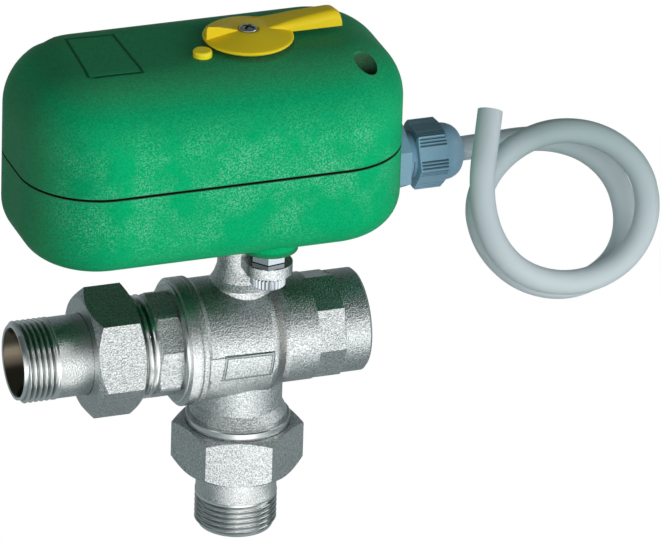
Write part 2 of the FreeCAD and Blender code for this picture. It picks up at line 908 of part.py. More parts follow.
def gear(module, teeth, height, bore, turn):
    """Spur gear with involute flanks, a tooth centred at the turn angle."""
    pitch = module * teeth / 2
    base = pitch * math.cos(math.radians(pressure_angle))
    tip = pitch + 0.9 * module
    root = pitch - 1.15 * module
    half = math.pi / (2 * teeth) - backlash / 4 / pitch + involute(base, pitch)
    low = max(base, root + 0.02)
    flank = [low + (tip - low) * k / 3 for k in range(4)]
    points = []
    for k in range(teeth):
        middle = math.radians(turn) + 2 * math.pi * k / teeth
        left = [(root, half + (0.0 if base > root else -involute(base, root)))]
        left += [(r, half - involute(base, r)) for r in flank]
        points += [(r, middle - a) for r, a in left]
        points += [(r, middle + a) for r, a in reversed(left)]
    outline = [V(r * math.cos(a), r * math.sin(a), 0) for r, a in points]
    blank = Part.Face(Part.makePolygon(outline + [outline[0]])).extrude(V(0, 0, height))
    return blank.cut(cylinder(bore, -1, height + 1))


def idler_centre():
    reach = output_module * (output_teeth + idler_pinion_teeth) / 2
    a = math.radians(idler_direction)
    return (reach * math.cos(a), reach * math.sin(a))


def motor_pinion_centre():
    reach = train_module * (idler_wheel_teeth + motor_pinion_teeth) / 2
    a = math.radians(motor_pinion_direction)
    x, y = idler_centre()
    return (x + reach * math.cos(a), y + reach * math.sin(a))


def output_gear():
    wheel = gear(output_module, output_teeth, output_gear_thickness, shaft_radius, idler_direction)
    wheel = placed(wheel, z=output_gear_bottom)
    hub_top = output_gear_bottom + output_gear_thickness + gear_hub_rise
    hub = cylinder(gear_hub_radius, output_gear_bottom, hub_top)
    hub = hub.cut(cylinder(shaft_radius, output_gear_bottom - 1, hub_top + 1))
    return single(wheel.fuse(hub))


def idler_pinion_top():
    return output_gear_bottom + idler_overlap


def idler_wheel_bottom():
    return output_gear_bottom + output_gear_thickness + idler_wheel_lift


def idler_gear():
    """Small pinion below, wheel above, on one bored hub."""
    bore = rod_radius + fit
    facing = idler_direction + 180 + 180 / idler_pinion_teeth
    pinion_bottom = idler_pinion_top() - idler_pinion_length
    pinion = gear(output_module, idler_pinion_teeth, idler_pinion_length, bore, facing)
    pinion = placed(pinion, z=pinion_bottom)
    wheel = gear(train_module, idler_wheel_teeth, idler_wheel_thickness, bore, motor_pinion_direction)
    wheel = placed(wheel, z=idler_wheel_bottom())
    hub_top = idler_wheel_bottom() + idler_wheel_thickness + idler_hub_rise
    hub = cylinder(idler_hub_radius, pinion_bottom, hub_top)
    hub = hub.cut(cylinder(bore, pinion_bottom - 1, hub_top + 1))
    x, y = idler_centre()
    return placed(single(pinion.fuse(wheel).fuse(hub)), x, y)


def motor_pinion():
    facing = motor_pinion_direction + 180 + 180 / motor_pinion_teeth
    pinion = gear(train_module, motor_pinion_teeth, motor_pinion_length, motor_shaft_radius, facing)
    x, y = motor_pinion_centre()
    return placed(pinion, x, y, motor_pinion_bottom())


def motor_pinion_bottom():
    """Low enough to stay in mesh while the button is pressed."""
    return idler_wheel_bottom() - button_travel - 0.2


# Output shaft, bush and cams
def output_shaft():
    shaft = cylinder(shaft_socket_radius, neck_top + 0.3, shaft_socket_top)
    shaft = shaft.fuse(cylinder(shaft_radius, shaft_socket_top - 0.1, shaft_top()))
    half = stem_square / 2 + fit
    shaft = shaft.cut(box(-half, half, -half, half, neck_top - 1, neck_top + stem_square_height + 0.5))
    screw_end = lever_centre_top - lever_screw_length - lever_screw_spare
    return single(shaft.cut(cylinder(lever_screw_shank, screw_end, lever_centre_top)))


def shaft_top():
    return lever_centre_top - lever_web


def shaft_bush():
    bore = shaft_radius + fit
    outer = bore + bush_wall
    top = gear_plate_bottom + gear_plate_thickness
    bush = cylinder(outer, gear_plate_bottom, top)
    bush = bush.fuse(cylinder(outer + 1.5, top, top + bush_flange))
    return single(bush.cut(cylinder(bore, gear_plate_bottom - 1, top + 5)))


def cam_radius(angle, direction):
    """Cam radius facing a material angle in degrees: an even rise over the travel."""
    turned = -angle % 360
    if turned > 300:
        turned = 0.0
    rise = min(turned, travel_angle) / travel_angle
    if turned > 180:
        rise = 1 - (turned - 180) / 120
    return cam_base_radius + cam_rise * (rise if direction > 0 else 1 - rise)


def limit_cam(direction, bottom):
    """Cam whose edge rises (+1) or falls (-1) evenly as the shaft turns."""
    points = []
    for k in range(72):
        a = math.radians(k * 5)
        r = cam_radius(k * 5, direction)
        points.append(V(r * math.cos(a), r * math.sin(a), bottom))
    edge = Part.BSplineCurve()
    edge.interpolate(points, PeriodicFlag=True)
    face = Part.Face(Part.Wire(edge.toShape()))
    cam = face.extrude(V(0, 0, cam_height))
    return cam.cut(cylinder(shaft_radius, bottom - 1, bottom + cam_height + 1))


# Limit switches
def switch_bottom(level):
    return lower_cam_bottom - 0.4 + level * cam_pitch


def limit_switch(level):
    """Snap switch with two screw holes and two terminals at its back."""
    bottom = switch_bottom(level)
    top = bottom + switch_height
    middle = (bottom + top) / 2
    back = switch_face + switch_depth
    case = box(switch_face, back, -switch_width / 2, switch_width / 2, bottom, top)
    case = case.makeFillet(0.6, upright_edges(case))
    for side in (-1, 1):
        y = side * switch_hole_pitch / 2
        case = case.cut(cylinder(switch_screw_radius + fit, bottom - 1, top + 1, "z", switch_screw_x(), y))
        tab = side * switch_tab_pitch / 2
        case = case.fuse(box(back - 0.5, back + 3.2, tab - 1.5, tab + 1.5, middle - 0.3, middle + 0.3))
    well = cylinder(plunger_radius + fit, switch_face - 1, switch_face + 2.6, "x", 0, 0, middle)
    return single(case.cut(well))


def switch_screw_x():
    return switch_face + switch_screw_setback


def switch_plunger(level):
    """Round-nosed pin that follows its cam."""
    middle = switch_bottom(level) + switch_height / 2
    nose = cam_radius(0, 1 if level == 0 else -1) + plunger_gap
    pin = cylinder(plunger_radius, nose + plunger_radius, nose + plunger_length, "x", 0, 0, middle)
    return single(pin.fuse(Part.makeSphere(plunger_radius, V(nose + plunger_radius, 0, middle))))


def switch_spacers():
    """Two identical tubes that hold the switches above the gear plate."""
    tubes = []
    for side in (-1, 1):
        y = side * switch_hole_pitch / 2
        tube = cylinder(switch_spacer_radius, gear_plate_bottom + gear_plate_thickness, switch_bottom(0))
        tube = tube.fuse(cylinder(switch_spacer_radius, switch_bottom(0) + switch_height, switch_bottom(1)))
        tube = tube.cut(cylinder(switch_screw_radius + fit, gear_plate_bottom, housing_top))
        for solid in tube.Solids:
            tubes.append(placed(solid, switch_screw_x(), y))
    return Part.makeCompound(tubes)


def switch_screws():
    screws = []
    for side in (-1, 1):
        y = side * switch_hole_pitch / 2
        top = switch_bottom(1) + switch_height
        shank = cylinder(switch_screw_radius, gear_plate_bottom - 1.5, top + 0.1)
        head = cylinder(2.2, top, top + 1.6).cut(box(-3, 3, -0.3, 0.3, top + 0.9, top + 3))
        screws.append(placed(shank.fuse(head), switch_screw_x(), y))
    return Part.makeCompound(screws)


# Gear plate
def gear_plate():
    z0 = gear_plate_bottom
    z1 = z0 + gear_plate_thickness
    inset = wall + plate_corner_gap
    plate = box(plate_x[0], plate_x[1], plate_y[0], plate_y[1], z0, z1)
    plate = plate.makeFillet(5.0, upright_edges(plate))
    plate = plate.common(rounded_block(inset, z0, z1, housing_corner - inset))
    x, y = cover_screw_back
    reach = cover_post_radius + 1.5
    plate = plate.cut(box(x - 40, x + reach, y - reach, y + 40, z0 - 1, z1 + 1))
    holes = [cylinder(shaft_radius + fit + bush_wall, z0 - 1, z1 + 1)]
    for px, py in plate_posts:
        holes.append(cylinder(plate_screw_radius + 0.15, z0 - 1, z1 + 1, "z", px, py))
    ix, iy = idler_centre()
    holes.append(cylinder(rod_radius + fit, z0 - 1, z1 + 1, "z", ix, iy))
    mx, my = motor_pinion_centre()
    holes.append(cylinder(motor_boss_radius + 0.6, z0 - 1, z1 + 1, "z", mx, my))
    for ex, ey in motor_ears():
        holes.append(cylinder(plate_screw_radius + 0.15, z0 - 1, z1 + 1, "z", ex, ey))
    for side in (-1, 1):
        y = side * switch_hole_pitch / 2
        holes.append(cylinder(switch_screw_radius, z0 - 1, z1 + 1, "z", switch_screw_x(), y))
    for hole in holes:
        plate = plate.cut(hole)
    return single(plate)


def plate_screws():
    """Six identical screws: four into the base posts, two into the motor."""
    top = gear_plate_bottom + gear_plate_thickness
    screws = []
    for x, y in list(plate_posts) + motor_ears():
        shank = cylinder(plate_screw_radius, top - 5.5, top + 0.1)
        head = cylinder(plate_screw_head_radius, top, top + 1.6)
        head = crossed(head, 1.9, 0.35, top + 0.8)
        screws.append(placed(shank.fuse(head), x, y))
    return Part.makeCompound(screws)


# Motor
def motor_centre():
    x, y = motor_pinion_centre()
    return (x + motor_offset[0], y + motor_offset[1])


def motor_ears():
    x, y = motor_centre()
    reach = motor_radius - motor_screw_inset
    ears = []
    for degrees in (100.0, 250.0):
        a = math.radians(degrees)
        ears.append((x + reach * math.cos(a), y + reach * math.sin(a)))
    return ears


def motor():
    """Flat round geared motor, hung under the gear plate."""
    top = gear_plate_bottom
    x, y = motor_centre()
    can = cylinder(motor_radius, top - motor_thickness, top)
    can = placed(can.makeFillet(1.5, edges_at(can, top - motor_thickness)), x, y)
    waist = cylinder(motor_radius + 1, top - 7.4, top - 6.6).cut(cylinder(motor_radius - 0.6, top - 9, top))
    can = can.cut(placed(waist, x, y))
    for ex, ey in motor_ears():
        can = can.cut(cylinder(plate_screw_radius, top - 5, top + 1, "z", ex, ey))
    mx, my = motor_pinion_centre()
    can = can.fuse(cylinder(motor_boss_radius, top - 0.1, top + gear_plate_thickness, "z", mx, my))
    can = can.cut(cylinder(motor_shaft_radius + fit, top - 6, top + 5, "z", mx, my))
    return single(can)


def motor_shaft():
    x, y = motor_pinion_centre()
    top = motor_pinion_bottom() + motor_pinion_length
    return cylinder(motor_shaft_radius, gear_plate_bottom - 5.5, top, "z", x, y)


# Release button
def button_top():
    return housing_top + button_rise


def button_guide_bottom():
    return housing_top - wall - button_guide_depth


def button_spring_bottom():
    return rod_flange_bottom() - button_spring_length


def rod_flange_bottom():
    return gear_plate_bottom - 1.0 - rod_flange_thickness


def release_button():
    x, y = idler_centre()
    top = button_top()
    cap = cylinder(button_radius, top - button_length, top)
    cap = cap.makeFillet(0.7, edges_at(cap, top))
    return placed(cap.cut(cylinder(rod_radius, top - button_length - 1, top - 4)), x, y)


def release_rod():
    x, y = idler_centre()
    bottom = rod_flange_bottom()
    rod = cylinder(rod_radius, bottom, button_top() - 4)
    rod = rod.fuse(cylinder(rod_flange_radius, bottom, bottom + rod_flange_thickness))
    pinion_bottom = idler_pinion_top() - idler_pinion_length
    hub_top = idler_wheel_bottom() + idler_wheel_thickness + idler_hub_rise
    for start in (pinion_bottom - rod_ring_gap - rod_ring, hub_top + rod_ring_gap):
        rod = rod.fuse(cylinder(rod_ring_radius, start, start + rod_ring))
    return placed(single(rod), x, y)


def helix_wire(radius, pitch, turns):
    """A coil's centreline as arcs of a quarter turn."""
    points = []
    for k in range(turns * 8 + 1):
        a = k * math.pi / 4
        points.append(V(radius * math.cos(a), radius * math.sin(a), pitch * k / 8))
    edges = []
    for k in range(0, len(points) - 2, 2):
        edges.append(Part.Arc(points[k], points[k + 1], points[k + 2]).toShape())
    return Part.Wire(edges)


def button_spring():
    turns = 5
    inside = button_spring_length - 2 * button_spring_wire - 0.1
    path = helix_wire(button_spring_radius, inside / turns, turns)
    start = path.Edges[0]
    tangent = start.tangentAt(start.FirstParameter)
    section = Part.Wire(Part.makeCircle(button_spring_wire, start.valueAt(start.FirstParameter), tangent))
    coil = path.makePipeShell([section], True, False)
    x, y = idler_centre()
    return placed(coil, x, y, button_spring_bottom() + button_spring_wire + 0.05)


# Lever
def wedge(sections):
    """Solid through four-cornered sections given as (x, corners)."""
    wires = []
    for x, corners in sections:
        points = [V(x, y, z) for y, z in corners]
        wires.append(Part.makePolygon(points + [points[0]]))
    return Part.makeLoft(wires, True, True)


def lever():
    """Turning disc with a pointer wedge and a rising handle."""
    bottom = housing_top + lever_gap
    disc = revolved([
        (bottom, 0),
        (bottom, lever_radius - 0.3),
        (bottom + 0.4, lever_radius),
        (lever_rim_top - 0.5, lever_radius),
        (lever_rim_top, lever_radius - 0.5),
        (lever_centre_top, lever_centre_radius),
        (lever_centre_top, 0),
    ])
    root = lever_rim_top - lever_root
    middle = lever_centre_top - 0.3
    tip_bottom = lever_rim_top - 0.5
    low_side = lever_rim_top + 0.2
    handle = wedge([
        (lever_centre_radius, [(lever_side, root), (lever_side, middle),
                               (handle_root_width, low_side), (handle_root_width, root)]),
        (lever_tip, [(lever_side, tip_bottom), (lever_side, lever_crest),
                     (handle_tip_width, lever_crest - 0.9), (handle_tip_width, tip_bottom)]),
    ])
    upper = []
    for edge in handle.Edges:
        bounds = edge.BoundBox
        if abs(bounds.YMax - lever_side) < 0.01 and bounds.ZMin > lever_rim_top and bounds.XLength > 5:
            upper.append(edge)
    handle = handle.makeFillet(handle_round, upper)
    pointer = wedge([
        (-lever_centre_radius, [(lever_side, root), (lever_side, middle + 0.2),
                                (pointer_width, middle - 1.0), (pointer_width, root)]),
        (-lever_radius - 1, [(lever_side, root), (lever_side, lever_crest + 0.3),
                             (pointer_width - 1.0, lever_rim_top), (pointer_width - 1.0, root)]),
    ])
    pointer = pointer.common(cylinder(lever_radius - 0.3, root, lever_crest + 1))
    hub = cylinder(lever_hub_radius, housing_top - lever_hub_depth, bottom + 0.5)
    piece = disc.fuse(handle).fuse(pointer).fuse(hub)
    top = lever_crest + 1
    low = housing_top - lever_hub_depth - 1
    piece = piece.cut(cylinder(lever_screw_radius + 0.35, lever_centre_top, top))
    piece = piece.cut(cylinder(shaft_radius, low, shaft_top()))
    return single(piece.cut(cylinder(lever_screw_shank + 0.1, low, top)))


def lever_screw():
    top = lever_centre_top + lever_screw_height
    head = cylinder(lever_screw_radius, lever_centre_top, top)
    head = head.makeFillet(0.9, edges_at(head, top))
    for turn in (45.0, 135.0):
        slot = box(-1.7, 1.7, -0.3, 0.3, top - 0.8, top + 1)
        slot.rotate(V(0, 0, 0), V(0, 0, 1), turn)
        head = head.cut(slot)
    screw_end = lever_centre_top - lever_screw_length
    return single(head.fuse(cylinder(lever_screw_shank, screw_end, lever_centre_top + 0.1)))


# Circuit board
def circuit_board():
    board = box(board_x[0], board_x[1], board_y[0], board_y[1], board_height, board_height + board_thickness)
    return board.makeFillet(1.5, upright_edges(board))


def pole_y(k):
    """Y of the middle of terminal k, counted from the front."""
    return gland_y + 1 + terminal_pitch * (k + 0.5 - terminal_poles / 2)


def terminal_level():
    return board_height + board_thickness + terminal_rise


def terminal_block():
    z0 = board_height + board_thickness
    z1 = z0 + terminal_height
    block = box(terminal_x[0], terminal_x[1], pole_y(-0.5), pole_y(terminal_poles - 0.5), z0, z1)
    outer = [e for e in block.Edges if e.BoundBox.XMin > terminal_x[1] - 0.01]
    block = block.makeChamfer(2.0, [e for e in outer if e.BoundBox.ZMin > z1 - 0.01])
    for k in range(terminal_poles):
        y = pole_y(k)
        block = block.cut(cylinder(1.7, z1 - 2.4, z1 + 1, "z", terminal_x[0] + 3.0, y))
        z = terminal_level()
        half = terminal_opening / 2
        block = block.cut(box(terminal_x[1] - 3, terminal_x[1] + 1, y - half, y + half, z - half, z + half))
    return single(block)


def capacitor():
    z0 = board_height + board_thickness
    case = box(capacitor_x[0], capacitor_x[1], capacitor_y[0], capacitor_y[1], z0, z0 + capacitor_height)
    return case.makeFillet(0.8, [e for e in case.Edges if e.BoundBox.ZMin > z0 + 0.1])


# Cable entry
def gland_start():
    return housing_right


def gland_body():
    """Hexagon body, thread through the wall and neck for the dome nut."""
    flange_end = gland_start() + gland_flange_length
    nut_end = flange_end + gland_neck_length + gland_nut_length
    piece = polygon_prism(6, gland_flats, gland_start(), flange_end, 0.0, "x")
    thread_start = gland_start() - wall - gland_lock_nut_thickness - 1.2
    piece = piece.fuse(cylinder(gland_thread_radius, thread_start, gland_start() + 0.1, "x"))
    piece = piece.fuse(cylinder(gland_neck_radius, flange_end - 0.1, nut_end - 2.0, "x"))
    piece = piece.cut(cylinder(cable_radius + 0.4, thread_start - 1, nut_end, "x"))
    piece = piece.cut(cylinder(gland_seal_radius(), nut_end - gland_seal_depth, nut_end, "x"))
    return single(placed(piece, 0, gland_y, gland_z))


def gland_seal_radius():
    return cable_radius + 1.9


def gland_seal():
    nut_end = gland_start() + gland_flange_length + gland_neck_length + gland_nut_length
    ring = cylinder(gland_seal_radius(), nut_end - gland_seal_depth, nut_end - 1.0, "x")
    ring = ring.cut(cylinder(cable_radius, nut_end - gland_seal_depth - 1.0, nut_end, "x"))
    return placed(ring, 0, gland_y, gland_z)


def gland_dome_nut():
    """Hexagon nut with a rounded nose around the cable."""
    start = gland_start() + gland_flange_length + gland_neck_length
    hex_end = start + gland_nut_length
    end = hex_end + gland_dome_length
    corner = gland_flats / 2 / math.cos(math.pi / 6)
    blank = polygon_prism(6, gland_flats, start, hex_end, gland_nut_turn, "x")
    turned = revolved([
        (start, 0), (start, corner - 0.9), (start + 0.9, corner + 0.1),
        (hex_end - 1.3, corner + 0.1), (hex_end, corner - 1.8), (hex_end, 0),
    ], "x")
    blank = blank.common(turned)
    root = V(hex_end - 0.1, 0, 0)
    rim = V(hex_end - 0.1, 0, gland_dome_radius)
    shoulder = V(hex_end + 1.2, 0, gland_dome_radius)
    cheek = V(end - 1.3, 0, gland_dome_radius - 1.3)
    mouth = V(end, 0, gland_mouth_radius)
    tip = V(end, 0, 0)
    edges = [Part.LineSegment(root, rim).toShape(), Part.LineSegment(rim, shoulder).toShape()]
    edges.append(Part.Arc(shoulder, cheek, mouth).toShape())
    edges += [Part.LineSegment(mouth, tip).toShape(), Part.LineSegment(tip, root).toShape()]
    nose = Part.Face(Part.Wire(edges)).revolve(V(0, 0, 0), V(1, 0, 0), 360)
    nut = blank.fuse(nose)
    nut = nut.cut(cylinder(gland_neck_radius, start - 1, hex_end - 2.0, "x"))
    nut = nut.cut(cylinder(cable_radius, start, end + 1, "x"))
    nut = nut.cut(cylinder(gland_seal_radius() + 0.1, start, hex_end - 1.0, "x"))
    return single(placed(nut, 0, gland_y, gland_z))


def gland_lock_nut():
    end = gland_start() - wall
    start = end - gland_lock_nut_thickness
    nut = polygon_prism(6, gland_lock_nut_flats, start, end, gland_lock_nut_turn, "x")
    nut = nut.cut(cylinder(gland_thread_radius, end - 9, end + 1, "x"))
    return placed(nut, 0, gland_y, gland_z)


# Cable
def cable_exit():
    start = gland_start() + gland_flange_length + gland_neck_length + gland_nut_length + gland_dome_length
    return V(start, gland_y, gland_z)


def jacket_end():
    return gland_start() - wall - gland_lock_nut_thickness - cable_stop


def cable_inner_end():
    """The cable inside the gland and the housing, up to where the jacket stops."""
    return cylinder(cable_radius, jacket_end(), cable_exit().x, "x", 0, gland_y, gland_z)


def conductors():
    """Four cores that bend from the jacket's end into the terminals."""
    wires = []
    for k in range(4):
        y = gland_y + (conductor_spread if k > 1 else -conductor_spread)
        z = gland_z + (conductor_spread if k % 2 else -conductor_spread)
        start = V(jacket_end(), y, z)
        end = V(terminal_x[1] - 2.6, pole_y(k), terminal_level())
        bend = V(start.x - conductor_bend, 0, 0)
        curve = Part.BezierCurve()
        curve.setPoles([start, V(bend.x, start.y, start.z), V(bend.x, end.y, end.z), end])
        path = Part.Wire(curve.toShape())
        section = Part.Wire(Part.makeCircle(conductor_radius, start, V(1, 0, 0)))
        wires.append(path.makePipeShell([section], True, False))
    return Part.makeCompound(wires)


def cable_lead():
    start = cable_exit()
    return cylinder(cable_radius, start.x, start.x + cable_lead_length, "x", 0, start.y, start.z)


def unit(vector):
    return vector.multiply(1 / vector.Length)


def biarc(p, t, q, u):
    """Two arcs that leave p along t and reach q along u."""
    v = q.sub(p)
    s = t.add(u)
    a = 2 * (1 - t.dot(u))
    b = 2 * v.dot(s)
    c = -v.dot(v)
    if abs(a) < 1e-9:
        d = -c / b
    else:
        d = (-b + math.sqrt(b * b - 4 * a * c)) / (2 * a)
    near = p.add(t * d)
    far = q.sub(u * d)
    joint = near.add(far).multiply(0.5)
    return [arc(p, near, joint), arc(joint, far, q)]


def arc(start, corner, end):
    """The arc that is tangent to both legs of an even corner."""
    chord = end.sub(start)
    leg = corner.sub(start).Length
    half = chord.Length / 2
    rise = math.sqrt(max(leg * leg - half * half, 0.0))
    middle = start.add(end).multiply(0.5)
    if rise < 1e-6:
        return Part.LineSegment(start, end).toShape()
    height = half * math.tan(math.asin(rise / leg) / 2)
    bulge = unit(corner.sub(middle)) * height
    return Part.Arc(start, middle.add(bulge), end).toShape()


def coil_route():
    """Points of the coil and its heading at each, from the lead to the tail."""
    points = [cable_exit().add(V(cable_lead_length, 0, 0))]
    headings = [V(1, 0, 0)]
    for x, y, z, degrees, slope in coil_points:
        a = math.radians(degrees)
        points.append(V(x, y, z))
        headings.append(unit(V(math.cos(a), -slope, math.sin(a))))
    points.append(V(*tail_start))
    headings.append(unit(V(*tail_end).sub(V(*tail_start))))
    return points, headings


def coil_wire():
    points, headings = coil_route()
    edges = []
    for k in range(len(points) - 1):
        edges += biarc(points[k], headings[k], points[k + 1], headings[k + 1])
    return Part.Wire(edges)


def cable_coil():
    path = coil_wire()
    first = path.Edges[0]
    tangent = first.tangentAt(first.FirstParameter)
    section = Part.Wire(Part.makeCircle(cable_radius, first.valueAt(first.FirstParameter), tangent))
    return path.makePipeShell([section], True, False)


def cable_tail():
    start = V(*tail_start)
    run = V(*tail_end).sub(start)
    return Part.makeCylinder(cable_radius, run.Length, start, run)


def report_coil():
    """Print the coil's length, volume check and least gap to itself."""
    path = coil_wire()
    coil = cable_coil()
    expected = math.pi * cable_radius ** 2 * path.Length
    radii = []
    for edge in path.Edges:
        if hasattr(edge.Curve, "Radius"):
            radii.append(round(edge.Curve.Radius, 1))
    print("coil length", round(path.Length, 1), "volume ratio", round(coil.Volume / expected, 4))
    print("radii", radii)
    points = path.discretize(Distance=1.5)
    least = path.Length
    apart = 26
    for i in range(0, len(points)):
        for j in range(i + apart, len(points)):
            least = min(least, points[i].distanceToPoint(points[j]))
    print("least gap between turns", round(least - 2 * cable_radius, 2))


def nodes():
    shapes = {
        "tailpiece_bottom": tailpiece(bottom_nut_start),
        "tailpiece_left": to_left(tailpiece(left_nut_start)),
        "union_gasket_bottom": union_gasket(bottom_nut_start),
        "union_gasket_left": to_left(union_gasket(left_nut_start)),
        "union_nut_bottom": turned(union_nut(bottom_nut_start)),
        "union_nut_left": to_left(turned(union_nut(left_nut_start))),
        "valve_body": valve_body(),
        "end_connector": end_connector(),
        "connector_seal": connector_seal(),
        "ball_seat_left": ball_seat(-1),
        "ball_seat_right": ball_seat(1),
        "ball": ball(),
        "stem": stem(),
        "stem_orings": stem_orings(),
        "stem_washer": stem_washer(),
        "mounting_screw": mounting_screw(),
        "lock_nut": lock_nut(),
        "hex_insert": hex_insert(),
        "housing_base": housing_base(),
        "housing_cover": housing_cover(),
        "cover_gasket": cover_gasket(),
        "cover_screws": cover_screws(),
        "gear_plate": gear_plate(),
        "plate_screws": plate_screws(),
        "output_shaft": output_shaft(),
        "shaft_bush": shaft_bush(),
        "output_gear": output_gear(),
        "idler_gear": idler_gear(),
        "motor": motor(),
        "motor_shaft": motor_shaft(),
        "motor_pinion": motor_pinion(),
        "limit_cam_lower": limit_cam(1, lower_cam_bottom),
        "limit_cam_upper": limit_cam(-1, lower_cam_bottom + cam_pitch),
        "limit_switch_lower": limit_switch(0),
        "limit_switch_upper": limit_switch(1),
        "switch_plunger_lower": switch_plunger(0),
        "switch_plunger_upper": switch_plunger(1),
        "switch_spacers": switch_spacers(),
        "switch_screws": switch_screws(),
        "release_button": release_button(),
        "release_rod": release_rod(),
        "button_spring": button_spring(),
        "lever": lever(),
        "lever_screw": lever_screw(),
        "circuit_board": circuit_board(),
        "terminal_block": terminal_block(),
        "capacitor": capacitor(),
        "gland_body": gland_body(),
        "gland_seal": gland_seal(),
        "gland_dome_nut": gland_dome_nut(),
        "gland_lock_nut": gland_lock_nut(),
        "cable_inner_end": cable_inner_end(),
        "conductors": conductors(),
        "cable_lead": cable_lead(),
        "cable_coil": cable_coil(),
        "cable_tail": cable_tail(),
    }
    return shapes


os.makedirs("parts", exist_ok=True)
for name, shape in nodes().items():
    shape.exportStep("parts/" + name + ".step")
    print(name, len(shape.Solids), round(shape.Volume, 1), shape.isValid())
report_coil()
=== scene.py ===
# %% [markdown]
# # A motorized three-way ball valve
# A nickel-plated brass valve carries a green plastic actuator. Its cable leaves
# through a gland and stands in two loose turns. The construction comes from the
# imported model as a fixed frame. This script gives every surface its finish and
# makes again what is too fine for the construction: the threads, the flats, the
# grooves of the gland, the ribs of a screw and the rounded lever.

# %% Load the model
import bmesh
import bpy
import json
import math
from mathutils import Matrix, Vector


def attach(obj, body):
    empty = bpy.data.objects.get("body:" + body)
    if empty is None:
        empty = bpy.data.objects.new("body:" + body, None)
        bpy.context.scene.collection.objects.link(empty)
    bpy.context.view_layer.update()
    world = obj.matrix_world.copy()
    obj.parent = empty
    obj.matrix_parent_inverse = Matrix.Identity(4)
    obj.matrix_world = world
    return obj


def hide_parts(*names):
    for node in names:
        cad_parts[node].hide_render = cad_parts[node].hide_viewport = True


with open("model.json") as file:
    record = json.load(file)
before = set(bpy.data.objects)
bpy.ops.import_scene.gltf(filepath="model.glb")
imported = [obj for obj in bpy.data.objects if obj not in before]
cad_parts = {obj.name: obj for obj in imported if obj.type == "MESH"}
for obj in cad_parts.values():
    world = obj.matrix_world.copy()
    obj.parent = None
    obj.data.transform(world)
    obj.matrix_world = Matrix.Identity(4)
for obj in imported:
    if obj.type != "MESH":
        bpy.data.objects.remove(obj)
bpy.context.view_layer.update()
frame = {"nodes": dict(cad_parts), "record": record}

mm = 0.001
print("nodes:", len(frame["nodes"]))

# %% [markdown]
# ## Places
# The stem stands on the Z axis, over the end of the bottom pipe. The run lies
# along X, from the left union to the right port. Several pieces and finishes
# need the same places, which are given here in millimetres.

# %% Places
run_height = 67.0
run_start = -75.75
gland_out, gland_height = 3.75, 120.6
gland_flats_start, gland_flats_end = 57.09, 67.11
housing_under, seam_height = 104.6, 133.65
octagon_start, octagon_end = -32.0, -23.9
lever_foot, lever_rim = 170.9, 14.4
print("run at", run_height, "mm, gland at", gland_height, "mm, seam at", seam_height, "mm")

# %% [markdown]
# ## Camera
# The photograph was taken with a long lens from the front left and above. The
# camera is built from its angles: one axis points back at the camera, one to
# the right and one up, and a small roll turns the last two. The focal length and
# the lens's axis are counted in points of the picture, from its top left corner.

# %% Camera
azimuth, elevation, roll = math.radians(-20.205), math.radians(25.885), math.radians(1.783)
distance = 2755.46 * mm
target = Vector((10.599, -37.487, 105.235)) * mm
picture_width, picture_height = 661, 545
focal_length, axis_across, axis_down = 8798.46, 313.898, 270.546


def linked(name, data):
    """An object of the scene that shows this data."""
    piece = bpy.data.objects.new(name, data)
    bpy.context.scene.collection.objects.link(piece)
    return piece


toward = Vector((math.sin(azimuth) * math.cos(elevation),
                 -math.cos(azimuth) * math.cos(elevation), math.sin(elevation)))
level = Vector((math.cos(azimuth), math.sin(azimuth), 0))
upright = toward.cross(level)
right = math.cos(roll) * level + math.sin(roll) * upright
up = math.cos(roll) * upright - math.sin(roll) * level

lens = bpy.data.cameras.new("camera")
lens.sensor_width = 36
lens.lens = focal_length / picture_width * lens.sensor_width
lens.shift_x = (picture_width / 2 - axis_across) / picture_width
lens.shift_y = (axis_down - picture_height / 2) / picture_width
lens.clip_end = 20
camera = linked("camera", lens)
axes = Matrix((right, up, toward)).transposed().to_4x4()
camera.matrix_world = Matrix.Translation(target + toward * distance) @ axes
bpy.context.scene.camera = camera
print("lens", round(lens.lens), "mm, at", [round(v, 2) for v in camera.location])

# %% [markdown]
# ## Cable
# An 8 mm cable is one length of soft jacket over its cores. It leaves the gland
# along X, makes two loose turns that come forward and ends in a plain cut. One
# smooth curve follows the route, and a round section along it is the jacket. The
# order and the end points are set after the points, because set before, the
# curve would fall back to straight runs. The points carry the cable's radius and
# the bevel is one, so that the curve's bounding box is as thick as the cable.

# %% Cable
cable_radius = 4.0 * mm
cable_route = [
    (72.6, 3.75, 120.6), (84.0, 3.7, 120.8), (93.5, 2.6, 122.0), (104.6, 0.3, 121.9),
    (115.5, -2.9, 117.9), (124.1, -6.3, 108.9), (127.2, -10.2, 96.0), (123.7, -13.6, 85.2),
    (115.1, -16.0, 78.9), (104.3, -17.3, 77.0), (92.5, -18.1, 80.2), (82.1, -18.8, 87.7),
    (74.4, -19.4, 98.5), (70.9, -20.0, 110.9), (73.9, -20.8, 122.7), (82.1, -21.6, 131.6),
    (93.5, -22.5, 136.2), (105.9, -23.2, 134.9), (117.3, -23.9, 128.7), (125.4, -24.7, 118.6),
    (128.1, -25.5, 105.9), (124.7, -26.3, 94.3), (116.5, -27.0, 86.6), (104.9, -27.7, 83.6),
    (92.7, -28.4, 85.8), (82.3, -29.2, 91.8), (74.3, -29.9, 101.6), (69.4, -30.5, 114.6),
    (68.4, -30.6, 128.0), (71.0, -26.6, 136.0), (74.3, -20.7, 144.9),
]


